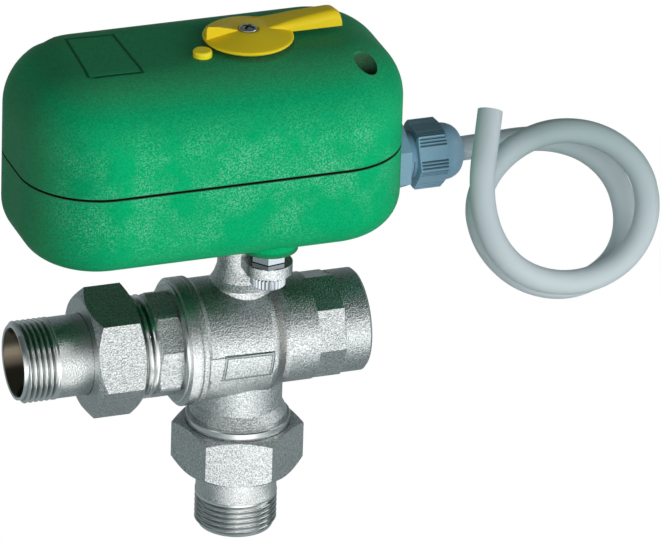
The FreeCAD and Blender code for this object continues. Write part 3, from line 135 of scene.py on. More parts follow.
def cable_curve(name, route, radius):
    curve = bpy.data.curves.new(name, "CURVE")
    curve.dimensions = "3D"
    spline = curve.splines.new("NURBS")
    spline.points.add(len(route) - 1)
    for point, (x, y, z) in zip(spline.points, route):
        point.co = (x * mm, y * mm, z * mm, 1)
        point.radius = radius
    spline.order_u = 3
    spline.use_endpoint_u = True
    spline.resolution_u = 12
    curve.bevel_depth = 1.0
    curve.bevel_resolution = 8
    curve.use_fill_caps = True
    return linked(name, curve), spline


cable, cable_spline = cable_curve("cable", cable_route, cable_radius)
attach(cable, "valve")
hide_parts("cable_lead", "cable_coil", "cable_tail")

# %% [markdown]
# ## Sums on sockets
# A finish or a rule is a sum of node sockets. `Number` wraps one number socket
# and takes the usual signs, so `1 - mask` adds its Math nodes by itself. `Nodes`
# adds any other node: its settings first, then the values or links of its inputs.

# %% Number
class Number:
    def __init__(self, nodes, socket):
        self.nodes, self.socket = nodes, socket

    def sum(self, operation, *others, clamp=False):
        """One Math node, with this number in its first socket."""
        inputs = dict(enumerate((self, *others)))
        made = self.nodes.add("ShaderNodeMath", inputs, operation=operation, use_clamp=clamp)
        return Number(self.nodes, made.outputs[0])

    def __add__(self, other):
        return self.sum("ADD", other)

    def __sub__(self, other):
        return self.sum("SUBTRACT", other)

    def __rsub__(self, other):
        return (self * -1).sum("ADD", other)

    def __mul__(self, other):
        return self.sum("MULTIPLY", other)

    def __truediv__(self, other):
        return self.sum("DIVIDE", other)

    def __rtruediv__(self, other):
        return (self * 0 + other).sum("DIVIDE", self)

    __radd__, __rmul__ = __add__, __mul__

    def __gt__(self, other):
        return self.sum("GREATER_THAN", other)

    def __lt__(self, other):
        return self.sum("LESS_THAN", other)

    def least(self, other):
        return self.sum("MINIMUM", other)

    def most(self, other):
        return self.sum("MAXIMUM", other)

    def absolute(self):
        return self.sum("ABSOLUTE")

    def clamped(self):
        return self.sum("ADD", 0, clamp=True)

    def hypot(self, other):
        """How long the slope is over this number and another at right angles to it."""
        return (self * self + other * other).sum("SQRT")

    def between(self, low, high):
        """One inside low to high, nought outside."""
        return (self > low) * (self < high)

    def ramp(self, low, high):
        """Nought at low, one at high and a straight slope between."""
        return ((self - low) / (high - low)).clamped()

    def fade(self, low, high):
        """One at low, nought at high and a straight slope between."""
        return 1 - self.ramp(low, high)


print("signs:", "+ - * / > <")

# %% Nodes
class Nodes:
    def __init__(self, tree):
        self.tree = tree

    def add(self, kind, inputs=None, **settings):
        made = self.tree.nodes.new(kind)
        for name, setting in settings.items():
            setattr(made, name, setting)
        for key, value in (inputs or {}).items():
            if isinstance(value, Number):
                value = value.socket
            if isinstance(value, bpy.types.NodeSocket):
                self.tree.links.new(value, made.inputs[key])
            else:
                made.inputs[key].default_value = value
        return made

    def number(self, kind, output, inputs=None, **settings):
        return Number(self, self.add(kind, inputs, **settings).outputs[output])

    def parts(self, vector):
        """The x, y and z of a vector."""
        split = self.add("ShaderNodeSeparateXYZ", {0: vector})
        return [Number(self, split.outputs[k]) for k in range(3)]


print("any other node comes from", Nodes.add.__name__)

# %% [markdown]
# ## Finishes
# Each finish is one Principled shader. Its patterns read Object coordinates,
# which are metres on the real thing, so a speckle of half a millimetre is
# half a millimetre on every piece. `Finish` holds what the patterns share.

# %% Finish
class Finish(Nodes):
    def __init__(self, name, color, roughness, **constants):
        self.material = bpy.data.materials.new(name)
        self.material.use_nodes = True
        super().__init__(self.material.node_tree)
        self.shader = self.tree.nodes["Principled BSDF"]
        self.shader.inputs["Base Color"].default_value = (*color, 1)
        self.shader.inputs["Roughness"].default_value = roughness
        for socket, value in constants.items():
            self.shader.inputs[socket.replace("_", " ")].default_value = value
        self.color = color
        self.place = self.add("ShaderNodeTexCoord").outputs["Object"]
        self.x, self.y, self.z = self.parts(self.place)

    def noise(self, size, detail=2.0):
        """Soft noise, nought to one, with spots of about this size in millimetres."""
        inputs = {"Vector": self.place, "Scale": 1 / (size * mm), "Detail": detail}
        return self.number("ShaderNodeTexNoise", "Fac", inputs)

    def cut(self):
        """How deep a rule has cut here: nought on a crest, one at a root."""
        return self.number("ShaderNodeAttribute", "Fac", attribute_name="cut")

    def blend(self, mask, first, second):
        """Colour one where the mask is nought, colour two where it is one."""
        colors = [(*color, 1) if isinstance(color, tuple) else color for color in (first, second)]
        mix = self.add("ShaderNodeMix", {0: mask, 6: colors[0], 7: colors[1]}, data_type="RGBA")
        return mix.outputs[2]

    def set(self, socket, value):
        if isinstance(value, Number):
            value = value.socket
        self.tree.links.new(value, self.shader.inputs[socket])

    def relief(self, height):
        """Bump of this height in millimetres."""
        bump = self.add("ShaderNodeBump", {"Height": height, "Distance": mm, "Strength": 1.0})
        self.set("Normal", bump.outputs[0])

    def frame_line(self, across, along, corners, width):
        """One on a thin frame through four corners in millimetres, given clockwise."""
        inner = None
        for (a, b), (c, d) in zip(corners, corners[1:] + corners[:1]):
            length = math.hypot(c - a, d - b)
            side = (across - a * mm) * ((d - b) / length) - (along - b * mm) * ((c - a) / length)
            inner = side if inner is None else inner.least(side)
        return inner.absolute().fade(width * 0.3 * mm, width * 0.7 * mm)


print("finishes read Object coordinates")

# %% [markdown]
# Cast brass is blasted with fine beads and plated with nickel. The skin is
# pebbled at about half a millimetre, and the crowns of the pebbles shine more
# than the hollows. Three masks may change it: where the lathe has passed, it is
# smooth and shinier, a raised line stands proud, and a third one darkens it
# towards brown, which is painted shade in the pipes' bores and a darker waist on
# the body.
# Shade is painted into the roots of whatever a rule has cut.

# %% Cast metal
nickel = (0.60, 0.61, 0.60)
nickel_crown, nickel_hollow = (0.77, 0.79, 0.78), (0.36, 0.40, 0.40)
# Painted shade for the roots of cuts, and a brown darkening that is painted shade in the bores.
metal_root_shade, metal_darkening = (0.09, 0.11, 0.11), (0.13, 0.11, 0.08)


def cast_metal(name, machined=None, raised=None, darkened=None):
    made = Finish(name, nickel, 0.3, Metallic=1.0)
    pebble = made.noise(0.5)
    height = pebble * 0.22
    crown = pebble.ramp(0.36, 0.64)
    rough = 0.29 + made.noise(6.0) * 0.08
    if machined:
        smooth = machined(made)
        height = height * (1 - smooth)
        rough = rough - smooth * 0.15
        crown = crown * (1 - smooth) + smooth
    if raised:
        line = raised(made)
        height = height + line * 0.35
        crown = crown - line * 0.7
    skin = made.blend(crown.clamped(), nickel_hollow, nickel_crown)
    # Painted shade in the roots of what a rule has cut.
    skin = made.blend(made.cut().ramp(0.4, 1.0) * 0.75, skin, metal_root_shade)
    if darkened:
        skin = made.blend(darkened(made), skin, metal_darkening)
    made.set("Base Color", skin)
    made.set("Roughness", rough)
    made.relief(height)
    return made.material


def body_machined(made):
    """Bright rings beside the connector and over the bottom union."""
    collar = made.x.between(-23.5 * mm, -19.7 * mm) * 0.3
    ring = made.z.between(36.9 * mm, 39.5 * mm)
    return collar.most(ring)


def body_frame(made):
    """A bare raised frame on the front of the body."""
    corners = [(-11.2, 69.1), (4.5, 68.7), (3.7, 61.0), (-12.1, 61.0)]
    return made.frame_line(made.x, made.z, corners, 0.8) * (made.y < -14 * mm)


def body_waist(made):
    """A darker, browner waist between the ball chamber and the right collar."""
    across = made.x.ramp(5.4 * mm, 7.0 * mm) * made.x.fade(9.0 * mm, 10.8 * mm)
    return across * made.z.ramp(50 * mm, 56 * mm) * (made.z < 84.5 * mm) * 0.45


cast = cast_metal("cast_nickel")
cast_body = cast_metal("cast_nickel_body", body_machined, body_frame, body_waist)
print("cast:", cast.name, cast_body.name)

# %% [markdown]
# Turned and drawn metal is smooth, with fine lines from the tool. A noise that
# runs along Z alone draws them, and painted shade darkens what a rule has cut.

# %% Turned metal
def turned_metal(name, color=nickel, roughness=0.2):
    made = Finish(name, color, roughness, Metallic=1.0)
    # Painted shade in the roots of what a rule has cut.
    made.set("Base Color", made.blend(made.cut() * 0.3, color, (0.08, 0.10, 0.10)))
    inputs = {"W": made.z / (0.12 * mm), "Scale": 1.0, "Detail": 3.0}
    lines = made.number("ShaderNodeTexNoise", "Fac", inputs, noise_dimensions="1D")
    made.set("Roughness", roughness - 0.05 + lines * 0.1)
    made.relief(lines * 0.006)
    return made.material


turned = turned_metal("turned_nickel")
bright = turned_metal("bright_steel", (0.52, 0.56, 0.59))
chrome = turned_metal("polished_chrome", (0.80, 0.81, 0.83), 0.08)
brass = turned_metal("machined_brass", (0.76, 0.58, 0.27), 0.25)
bronze = turned_metal("machined_bronze", (0.62, 0.42, 0.22), 0.3)
insert_steel = turned_metal("insert_steel", (0.42, 0.48, 0.51), 0.18)
lock_nut_steel = turned_metal("lock_nut_steel", (0.17, 0.20, 0.21), 0.22)
print("turned:", turned.name, bright.name, chrome.name, brass.name, bronze.name)

# %% [markdown]
# The plastics are moulded. A fine grain roughens the light on them.

# %% Moulded plastics
def moulded(name, color, roughness=0.42, grain=0.5, depth=0.012, **constants):
    made = Finish(name, color, roughness, **constants)
    made.set("Roughness", roughness - 0.06 + made.noise(4.0) * 0.12)
    made.relief(made.noise(grain, 3.0) * depth)
    return made.material


yellow = moulded("control_yellow", (0.88, 0.66, 0.015), 0.45, Specular_IOR_Level=0.25)
# A lighter copy of the lever's yellow: painted light on the same plastic.
lit_button_yellow = moulded("lit_button_yellow", (1.0, 0.82, 0.025), 0.4, Specular_IOR_Level=0.3)
black = moulded("seal_black", (0.012, 0.013, 0.012), 0.55)
gasket_black = moulded("gasket_black", (0.004, 0.005, 0.004), 0.8, Specular_IOR_Level=0.03)
white = moulded("seat_white", (0.85, 0.85, 0.82), 0.35)
natural = moulded("gear_natural", (0.74, 0.71, 0.62), 0.4)
red = moulded("plunger_red", (0.5, 0.03, 0.02), 0.4)
brown = moulded("board_brown", (0.18, 0.10, 0.035), 0.5)
beige = moulded("terminal_beige", (0.45, 0.44, 0.38), 0.45)
core = moulded("core_brown", (0.16, 0.07, 0.03), 0.45)
print("plastics:", yellow.name, black.name, white.name, natural.name)

# %% [markdown]
# The cable gland is slate grey. Shade is painted on its faces that look up and
# back, softly over its nose, and into its grooves. One narrow slit stands on its
# neck. The cable's jacket has painted light low on the loops and painted shade
# along their top.

# %% Gland and jacket
def gland_plastic():
    made = Finish("gland_slate", (0.28, 0.50, 0.66), 0.38)
    # Painted shade on the upper and back faces, soft over the nose, and in the cut grooves.
    upper = (made.z - gland_height * mm) * 0.588 + (made.y - gland_out * mm) * 0.809
    before, behind = (gland_flats_start - 0.04) * mm, (gland_flats_end + 0.04) * mm
    nose = (made.x > behind).most(made.x < before)
    shade = (upper / (0.3 * mm + nose * 9.0 * mm)).clamped() * 0.66
    slit = made.x.between(55.85 * mm, 56.2 * mm) * (made.z < 121.5 * mm) * 0.7
    dark = shade.most(made.cut() * 0.68).most(slit)
    grain = made.noise(0.6).ramp(0.3, 0.7) * 0.12
    made.set("Base Color", made.blend((dark + grain).clamped(), made.color, (0.035, 0.07, 0.09)))
    made.relief(made.noise(0.5, 3.0) * 0.012)
    return made.material


def jacket_plastic():
    made = Finish("cable_jacket", (0.51, 0.60, 0.63), 0.5)
    # Painted light low on the loops, and painted shade along their tops.
    low = made.z.fade(78 * mm, 110 * mm)
    loops = made.x.ramp(76 * mm, 90 * mm) * (made.y * -1).ramp(0, 4 * mm)
    high = made.z.ramp(104 * mm, 130 * mm) * loops
    pale = made.blend(low, made.color, (0.65, 0.74, 0.77))
    made.set("Base Color", made.blend(high, pale, (0.36, 0.46, 0.465)))
    made.set("Roughness", 0.44 + made.noise(4.0) * 0.12)
    made.relief(made.noise(1.2, 3.0) * 0.02)
    return made.material


slate, jacket = gland_plastic(), jacket_plastic()
cable.data.materials.append(jacket)
print("gland and cable:", slate.name, jacket.name)

# %% [markdown]
# The housing is green, with painted shade on top, at its left end, underneath,
# at the seam, round the lever's disc and in the recesses of its two screws.
# Pale scuffs, finer than a millimetre and gathered in patches, lie on both sides
# of the seam, as glass-filled plastic shows them. An empty frame is pressed in
# its top.

# %% Housing
screw_recesses = [(33.0, -17.4), (-59.1, 24.9)]
# Colours of the painted shade: a dull green, and a greyer one for the deepest.
green_shade, green_deep_shade = (0.003, 0.1, 0.05), (0.046, 0.1, 0.058)


def housing_shade(made):
    """How much painted shade darkens the green: nought where none is painted."""
    # Painted shade on top, at the left end, underneath, at the seam and round the disc.
    top = made.z.ramp(146 * mm, 167 * mm) * 0.54
    left = (made.x * -1).ramp(48 * mm, 74 * mm) * 0.56
    under = made.z.fade(housing_under * mm, (housing_under + 1.2) * mm) * 0.6
    seam = (made.z - seam_height * mm).absolute().fade(0.42 * mm, 0.7 * mm) * 0.9
    ring = made.x.hypot(made.y).fade(lever_rim * mm, (lever_rim + 2) * mm) * (made.z > 160 * mm) * 0.75
    shade = top.most(left).most(under).most(seam).most(ring)
    # Painted shade in the recesses of the cover screws.
    sunk = (168.6 * mm - made.z).ramp(0, 2 * mm) * (made.z > 140 * mm)
    for across, along in screw_recesses:
        away = (made.x - across * mm).hypot(made.y - along * mm)
        shade = shade.most(away.fade(3.8 * mm, 4.1 * mm) * sunk * 0.9)
    return shade


def housing_frame(made):
    corners = [(-54.5, 17.2), (-39.3, 16.3), (-38.9, -12.2), (-56.3, -11.8)]
    return made.frame_line(made.x, made.y, corners, 0.9) * (made.z > 168.5 * mm)


def housing_plastic():
    made = Finish("speckled_green", (0.002, 0.52, 0.19), 0.5, Specular_IOR_Level=0.05)
    shade = housing_shade(made)
    tone = made.noise(0.55).ramp(0.38, 0.62)
    grained = made.blend(tone * 0.4, made.color, (0.001, 0.2, 0.08))
    # The grain is darkened towards the painted shade's colours.
    shaded_green = made.blend(shade.ramp(0.34, 0.54), green_shade, green_deep_shade)
    mottled_and_shaded = made.blend((shade * (0.9 + tone * 0.25)).clamped(), grained, shaded_green)
    patch = made.noise(12.0, 5.0).ramp(0.40, 0.64)
    patch = patch * (made.z - seam_height * mm).absolute().fade(12 * mm, 26 * mm)
    patch = patch * (1 - made.x.ramp(24 * mm, 44 * mm) * 0.6)
    fleck = made.noise(0.52, 3.0).ramp(0.50, 0.58)
    scuffs = (patch * fleck * (0.62 - shade) * 0.9).clamped()
    scuffed = made.blend(scuffs, mottled_and_shaded, (0.26, 0.68, 0.47))
    line = housing_frame(made)
    made.set("Base Color", made.blend(line * 0.7, scuffed, (0.0, 0.03, 0.012)))
    made.set("Roughness", 0.42 + fleck * 0.12)
    made.relief(made.noise(0.5) * 0.04 - line * 0.25)
    return made.material


green = housing_plastic()
print("housing:", green.name)

# %% [markdown]
# The construction names a material slot for each node. Each slot gets its
# finish, and a few nodes that the photograph shows in another tone get their own.
# The release button's lighter yellow is painted light on the lever's plastic.

# %% Put the finishes on the construction's nodes
finish_of_slot = {
    "nickel_brass": cast, "ball_chrome": chrome, "stem_brass": brass, "bronze_bush": bronze,
    "steel": bright, "bright_screws": bright, "motor_can": bright, "seat_white": white,
    "seal_black": black, "switch_black": black, "housing_green": green, "control_yellow": yellow,
    "gland_grey": slate, "cable_grey": jacket, "core_insulation": core, "gear_natural": natural,
    "plunger_red": red, "board_brown": brown, "terminal_beige": beige,
}
finish_of_node = {
    "valve_body": cast_body, "cover_gasket": gasket_black, "hex_insert": insert_steel,
    "lock_nut": lock_nut_steel, "release_button": lit_button_yellow,
}
for row in frame["record"]["subparts"]:
    shape = frame["nodes"][row["node"]].data
    shape.materials.clear()
    shape.materials.append(finish_of_node.get(row["node"], finish_of_slot[row["material_slot"]]))

# %% [markdown]
# ## Turned pieces
# Pipe ends, the threaded connector and the cable gland start as blanks on a
# lathe. `lathe` spins an outline of (height, radius) pairs, given in millimetres,
# into a closed ring. A solid piece keeps a bore of a hair's width, so it is a
# ring too. The piece stands on Z until it is put in its place.

# %% Lathe
hair = 0.02


def skinned(name, rings, closed=True):
    """A mesh over rings of points in millimetres, closed on itself or capped at both ends."""
    shape = bmesh.new()
    rings = [[shape.verts.new(Vector(point) * mm) for point in ring] for ring in rings]
    for first, second in zip(rings, rings[1:] + (rings[:1] if closed else [])):
        for k in range(len(first)):
            j = (k + 1) % len(first)
            shape.faces.new((first[k], first[j], second[j], second[k]))
    if not closed:
        shape.faces.new(rings[0])
        shape.faces.new(rings[-1])
    bmesh.ops.recalc_face_normals(shape, faces=shape.faces)
    mesh = bpy.data.meshes.new(name)
    shape.to_mesh(mesh)
    shape.free()
    return mesh


def lathe(name, outline, steps=180):
    turns = [2 * math.pi * k / steps for k in range(steps)]
    rings = [[(radius * math.cos(turn), radius * math.sin(turn), height) for turn in turns]
             for height, radius in outline]
    return linked(name, skinned(name, rings))


def rows(start, end, radius, step=0.13):
    """Close rows along a straight stretch, where a rule will cut into the blank."""
    count = max(1, round((end - start) / step))
    return [(start + (end - start) * k / count, radius) for k in range(count + 1)]


print("a 10 mm stretch of blank has", len(rows(0, 10, 1)), "rows")

# %% [markdown]
# ## Rules cut into a blank
# A thread, a ring of flats, a knurl and a row of grooves all follow a rule: how
# far out metal may stand at a height and an angle. One Geometry Nodes tree per
# rule works that radius out, and keeps the blank where it lies inside it. It also
# stores how deep it has cut, for the finishes. The sizes are named inputs of the
# modifier. A knurl or thread of real cuts would need hundreds of cutting shapes.

# %% Rule trees
def rule_tree(name, sizes, rule, material):
    tree = bpy.data.node_groups.new(name, "GeometryNodeTree")
    face = tree.interface
    face.new_socket(name="Geometry", in_out="INPUT", socket_type="NodeSocketGeometry")
    for size in sizes:
        face.new_socket(name=size, in_out="INPUT", socket_type="NodeSocketFloat")
    face.new_socket(name="Geometry", in_out="OUTPUT", socket_type="NodeSocketGeometry")
    nodes = Nodes(tree)
    entry, leave = nodes.add("NodeGroupInput"), nodes.add("NodeGroupOutput")
    named = [Number(nodes, entry.outputs[size]) for size in sizes]
    x, y, z = nodes.parts(nodes.add("GeometryNodeInputPosition").outputs[0])
    radius = x.hypot(y)
    limit, depth = rule(z, y.sum("ARCTAN2", x), radius, *named)
    earlier = nodes.number("GeometryNodeInputNamedAttribute", "Attribute", {"Name": "cut"},
                           data_type="FLOAT")
    deepest = (depth * (radius > limit)).most(earlier)
    inputs = {"Geometry": entry.outputs["Geometry"], "Name": "cut", "Value": deepest}
    marked = nodes.add("GeometryNodeStoreNamedAttribute", inputs, data_type="FLOAT", domain="POINT")
    share = radius.least(limit) / radius
    place = nodes.add("ShaderNodeCombineXYZ", {0: x * share, 1: y * share, 2: z})
    inputs = {"Geometry": marked.outputs[0], "Position": place.outputs[0]}
    cut = nodes.add("GeometryNodeSetPosition", inputs)
    real = nodes.add("GeometryNodeRealizeInstances", {0: cut.outputs[0]})
    done = nodes.add("GeometryNodeSetMaterial", {"Geometry": real.outputs[0], "Material": material})
    tree.links.new(done.outputs[0], leave.inputs[0])
    return tree


def worked(piece, tree, **sizes):
    """Run a rule on a blank with these sizes, then keep the result as a plain mesh."""
    modifier = piece.modifiers.new(tree.name, "NODES")
    modifier.node_group = tree
    for item in tree.interface.items_tree:
        if item.in_out == "INPUT" and item.name in sizes:
            modifier[item.identifier] = float(sizes[item.name])
    graph = bpy.context.evaluated_depsgraph_get()
    final = piece.evaluated_get(graph)
    mesh = bpy.data.meshes.new_from_object(final, preserve_all_data_layers=True, depsgraph=graph)
    piece.modifiers.clear()
    piece.data = mesh
    return piece


def repeated(value, step):
    """How far a value is from the nearest multiple of the step."""
    return ((value / step + 0.5).sum("FRACT") - 0.5) * step


print("a rule gives a limit and a depth")

# %% The three rules
def thread_rule(z, angle, radius, crest, depth, pitch, end, runout):
    turn = (z / pitch - angle / (2 * math.pi)).sum("FRACT")
    flank = (turn * 2 - 1).absolute().ramp(0.12, 0.86) * ((end - z) / runout).clamped()
    return crest - flank * depth + (z > end), flank


def flats_rule(z, angle, radius, flats, sides, turn, start, end, groove, spacing, first):
    """A prism's flats. Each has three grooves near both long edges, unless groove is nought."""
    away = repeated(angle - turn, 2 * math.pi / sides)
    reach = flats * 0.5 / away.sum("COSINE")
    across = (flats * 0.5 * away.sum("TANGENT")).absolute() - first
    line = repeated(across, spacing).absolute()
    grooved = (across > spacing * -0.5) * (across < spacing * 2.5)
    grooved = grooved * (z > start + spacing * 0.45) * (z < end - spacing * 0.5)
    inside = (z > start) * (z < end)
    dent = (groove - line * 2).most(0) * grooved * inside
    return reach - dent + (1 - inside), (dent / (groove + 1e-6)).ramp(0.05, 0.6)


def knurl_rule(z, angle, radius, crest, depth, count, socket, end):
    """Ribs outside, and six flats in the socket inside."""
    tooth = (repeated(angle, 2 * math.pi / count) * count / math.pi).absolute()
    ribbed = crest - tooth * depth
    hollow = socket * 0.5 / repeated(angle, math.pi / 3).sum("COSINE")
    outside = radius > socket * 0.7
    return ribbed * outside + hollow * (1 - outside) + (z > end), tooth * outside


thread_tree = rule_tree("cut_thread", ("crest", "depth", "pitch", "end", "runout"), thread_rule, turned)
flats_sizes = ("flats", "sides", "turn", "start", "end", "groove", "spacing", "first")
flats_tree = rule_tree("mill_flats", flats_sizes, flats_rule, cast)
knurl_tree = rule_tree("press_knurl", ("crest", "depth", "count", "socket", "end"), knurl_rule, bright)
print("rules:", thread_tree.name, flats_tree.name, knurl_tree.name)

# %% [markdown]
# A finished piece has its place in its mesh, so that its object stays at the
# origin. `seat` moves the mesh there, smooths it up to an angle and hands the
# piece over: which body it rides on and which nodes it replaces.

# %% Seat a piece
to_run = Matrix(((0, 0, 1), (1, 0, 0), (0, 1, 0))).to_4x4()
run_place = Matrix.Translation((0, 0, run_height * mm)) @ to_run


def seat(piece, body, node, material, place=Matrix(), sharp=32):
    piece.data.transform(place)
    piece.data.shade_smooth()
    piece.data.set_sharp_from_angle(angle=math.radians(sharp))
    piece.data.materials.clear()
    piece.data.materials.append(material)
    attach(piece, body)
    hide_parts(node)
    print(piece.name, len(piece.data.polygons), "faces")


print("the run's axis is", run_height, "mm up")

# %% [markdown]
# ## Pipe ends
# Each pipe end is a G 3/4 male thread, a blasted barrel and the flange that the
# union nut pulls on. The thread is cut 1.16 mm deep with a pitch of 1.814 mm. It
# starts on a small lead chamfer and runs out before the barrel. Shade is painted
# into the bore. The left barrel is 1.8 mm longer, as in the photograph.

# %% Pipe ends
pipe_bore, pipe_crest, pipe_barrel, pipe_flange = 10.8, 13.22, 13.0, 15.0
pipe_thread_end = 11.9


def pipe_end(name, nut_start):
    flange = nut_start + 3.75
    outline = [(0.6, pipe_bore), (0, 11.4), (0, 12.0)]
    outline += rows(1.25, pipe_thread_end, pipe_crest)
    outline += [(12.2, pipe_barrel), (flange, pipe_barrel), (flange, pipe_flange)]
    outline += [(flange + 3.3, pipe_flange), (flange + 3.3, pipe_bore)]
    return worked(lathe(name, outline), thread_tree, crest=pipe_crest * mm, depth=1.162 * mm,
                  pitch=1.814 * mm, end=11.7 * mm, runout=1.6 * mm)


def pipe_metal(name, along, across, start, middle):
    """Bright in the thread, blasted on the barrel, with painted shade in the bore. Along is x or z."""
    def machined(made):
        return (getattr(made, along) < (start + pipe_thread_end) * mm).most(0.4)

    # Painted shade inside the bore.
    def darkened(made):
        return (getattr(made, across) - middle * mm).hypot(made.y) < (pipe_bore + 0.4) * mm

    return cast_metal(name, machined, darkened=darkened)


seat(pipe_end("pipe_end_bottom", 21.0), "valve", "tailpiece_bottom",
     pipe_metal("pipe_nickel_bottom", "z", "x", 0, 0), sharp=50)
seat(pipe_end("pipe_end_left", 22.8), "valve", "tailpiece_left",
     pipe_metal("pipe_nickel_left", "x", "z", run_start, run_height),
     Matrix.Translation((run_start * mm, 0, 0)) @ run_place, sharp=50)

# %% [markdown]
# ## Connector
# The left union screws on a G 1 thread, cut 1.479 mm deep with a pitch of
# 2.309 mm. Behind it stand a blasted octagon for the spanner, a thin ring and the
# plug with the pocket for the ball's seat. All of it is one turned blank: the
# thread rule runs over it first, then the flats rule.

# %% Connector
def connector():
    bore, crest, relief, ring, plug, shoulder, pocket = 9.5, 16.62, 15.6, 19.3, 17.9, 15.9, 13.6
    outline = [(-43.9, bore), (-43.9, 15.3)]
    outline += rows(-42.9, -33.4, crest)
    outline += [(-33.1, crest), (-32.8, relief), (octagon_start, relief)]
    outline += [(octagon_start + 0.01, 16.0), (-31.7, 16.5), (-31.2, 17.1)]
    outline += [(-24.6, 17.1), (-24.2, 16.7), (octagon_end - 0.01, 16.3), (octagon_end, relief)]
    outline += [(octagon_end, 18.9), (-23.5, ring), (-23.0, ring), (-23.0, plug), (-15.6, plug)]
    outline += [(-15.6, shoulder), (-9.8, shoulder), (-9.8, pocket), (-13.4, pocket), (-13.4, bore)]
    piece = worked(lathe("connector", outline, 360), thread_tree, crest=crest * mm, depth=1.479 * mm,
                   pitch=2.309 * mm, end=-33.1 * mm, runout=0.7 * mm)
    return worked(piece, flats_tree, flats=32.2 * mm, sides=8, turn=math.radians(10.5),
                  start=octagon_start * mm, end=octagon_end * mm, groove=0, spacing=1, first=1)


def connector_machined(made):
    """The thread, its relief and the ring are bright, the octagon is blasted."""
    return (made.x < octagon_start * mm).most(made.x > octagon_end * mm)


seat(connector(), "valve", "end_connector",
     cast_metal("connector_nickel", connector_machined), run_place, sharp=14)

# %% [markdown]
# ## Cable gland
# The dome nut clamps the seal round the cable. It is moulded with a hexagon for
# the spanner, three grip grooves near each long edge, and a smooth rounded nose.

# %% Dome nut
def dome_nut():
    bore, mouth, edge = 7.5, 4.05, 11.2
    outline = [(57.1, bore), (57.1, 10.6), (57.3, 11.0)]
    outline += [(height, edge) for height in (57.5, 57.56, 57.6, 57.8, 61.8, 65.9, 66.05)]
    outline += [(66.1 + 0.1 * k, edge - 0.19 * k) for k in range(11)]
    for k in range(16):
        turn = math.radians(90 - 5.6 * k)
        outline.append((67.3 + 6.1 * math.cos(turn), 4.5 + 4.7 * math.sin(turn)))
    outline += [(73.4, 4.4), (73.4, mouth), (66.1, mouth), (66.1, 6.0), (65.1, 6.0), (65.1, bore)]
    return worked(lathe("dome_nut", outline, 720), flats_tree, flats=19.4 * mm, sides=6,
                  turn=math.radians(-24), start=gland_flats_start * mm, end=gland_flats_end * mm,
                  groove=0.75 * mm, spacing=1.07 * mm, first=2.65 * mm)


gland_place = Matrix.Translation((0, gland_out * mm, gland_height * mm)) @ to_run
seat(dome_nut(), "valve", "gland_dome_nut", slate, gland_place, sharp=22)

# %% [markdown]
# ## Mounting screw
# A screw with a knurled head holds the actuator on the valve's ear. Fingers turn
# it by its ribs, and a key fits the hexagon socket below.

# %% Mounting screw
def mounting_screw():
    shank, head, collar = 3.0, 5.65, 5.3
    socket, corner = 5.0, 2.887
    outline = [(92.9, hair), (92.9, 2.8), (92.89, corner), (90.71, corner), (90.7, 3.3), (90.7, 4.9)]
    outline += [(91.2, 5.5), (91.35, head), (94.0, head), (94.3, collar), (94.3, shank)]
    outline += [(108.9, shank), (108.9, hair)]
    return worked(lathe("knurled_screw", outline, 480), knurl_tree, crest=head * mm,
                  depth=0.45 * mm, count=28, socket=socket * mm, end=94.1 * mm)


screw_place = Matrix.Translation((3.7 * mm, -14.6 * mm, 0))
seat(mounting_screw(), "valve", "mounting_screw", bright, screw_place, sharp=20)

# %% [markdown]
# ## Lever
# The yellow lever shows where the valve stands, and a hand can turn it. A shallow
# cone with a rounded, undercut rim comes from the lathe. The pointer and the
# handle are lofts: one outline per station along X, rounded where the front meets
# the top. The three share one mesh, as one moulded piece.

# %% Lever
def station(x, low, top, back, depth, bend, front=-0.8):
    """Outline at one x: front face, rounded edge, then the top falling to the back."""
    outline = [(x, front, low)]
    for k in range(9):
        turn = math.radians(90 * k / 8)
        outline.append((x, front + bend * (1 - math.cos(turn)), top - bend * (1 - math.sin(turn))))
    return outline + [(x, depth, back), (x, depth, low)]


def lever_disc():
    outline = [(172.9, 1.6), (172.3, 1.6), (172.3, 4.65), (164.0, 4.65), (164.0, 6.4), (169.6, 6.4)]
    outline += [(169.6, 12.4), (169.9, 13.4), (170.3, 14.0), (170.6, 14.3), (lever_foot, lever_rim)]
    outline += [(171.2, 14.3), (171.4, 14.0), (171.55, 13.4), (172.1, 11.0), (172.8, 7.6)]
    outline += [(173.35, 4.4), (173.45, 3.7), (173.4, 3.4), (172.9, 3.3)]
    return lathe("position_lever", outline)


def lever_handle():
    # x, low, top, back, depth, bend
    stations = [
        (3.6, 172.0, 172.6, 171.6, 11.8, 0.2), (8.0, 171.3, 173.3, 171.9, 10.9, 0.9),
        (12.0, lever_foot, 173.9, 172.6, 10.0, 1.6), (17.0, lever_foot, 174.6, 173.6, 9.0, 2.2),
        (22.0, lever_foot, 175.2, 174.4, 7.9, 2.5), (26.0, lever_foot, 175.7, 175.0, 7.0, 2.5),
        (28.2, lever_foot, 175.9, 175.3, 6.5, 2.5), (29.4, lever_foot, 175.8, 175.1, 6.3, 2.5),
        (30.3, lever_foot, 175.2, 174.5, 6.1, 2.4), (30.8, lever_foot, 174.3, 173.7, 6.0, 2.2),
        (31.0, lever_foot, 173.2, 172.8, 5.9, 1.6),
    ]
    return skinned("handle", [station(*sizes) for sizes in stations], closed=False)


def lever_pointer():
    # x, top, depth
    stations = [(-3.6, 173.6, 6.4), (-7.0, 174.6, 6.2), (-10.0, 175.4, 6.0),
                (-12.4, 175.7, 5.8), (-13.5, 175.9, 4.3), (-14.0, 175.4, 2.6)]
    rings = [station(x, 171.1, top, 171.9 + (x + 14.0) * 0.1, depth, 0.3) for x, top, depth in stations]
    return skinned("pointer", rings, closed=False)


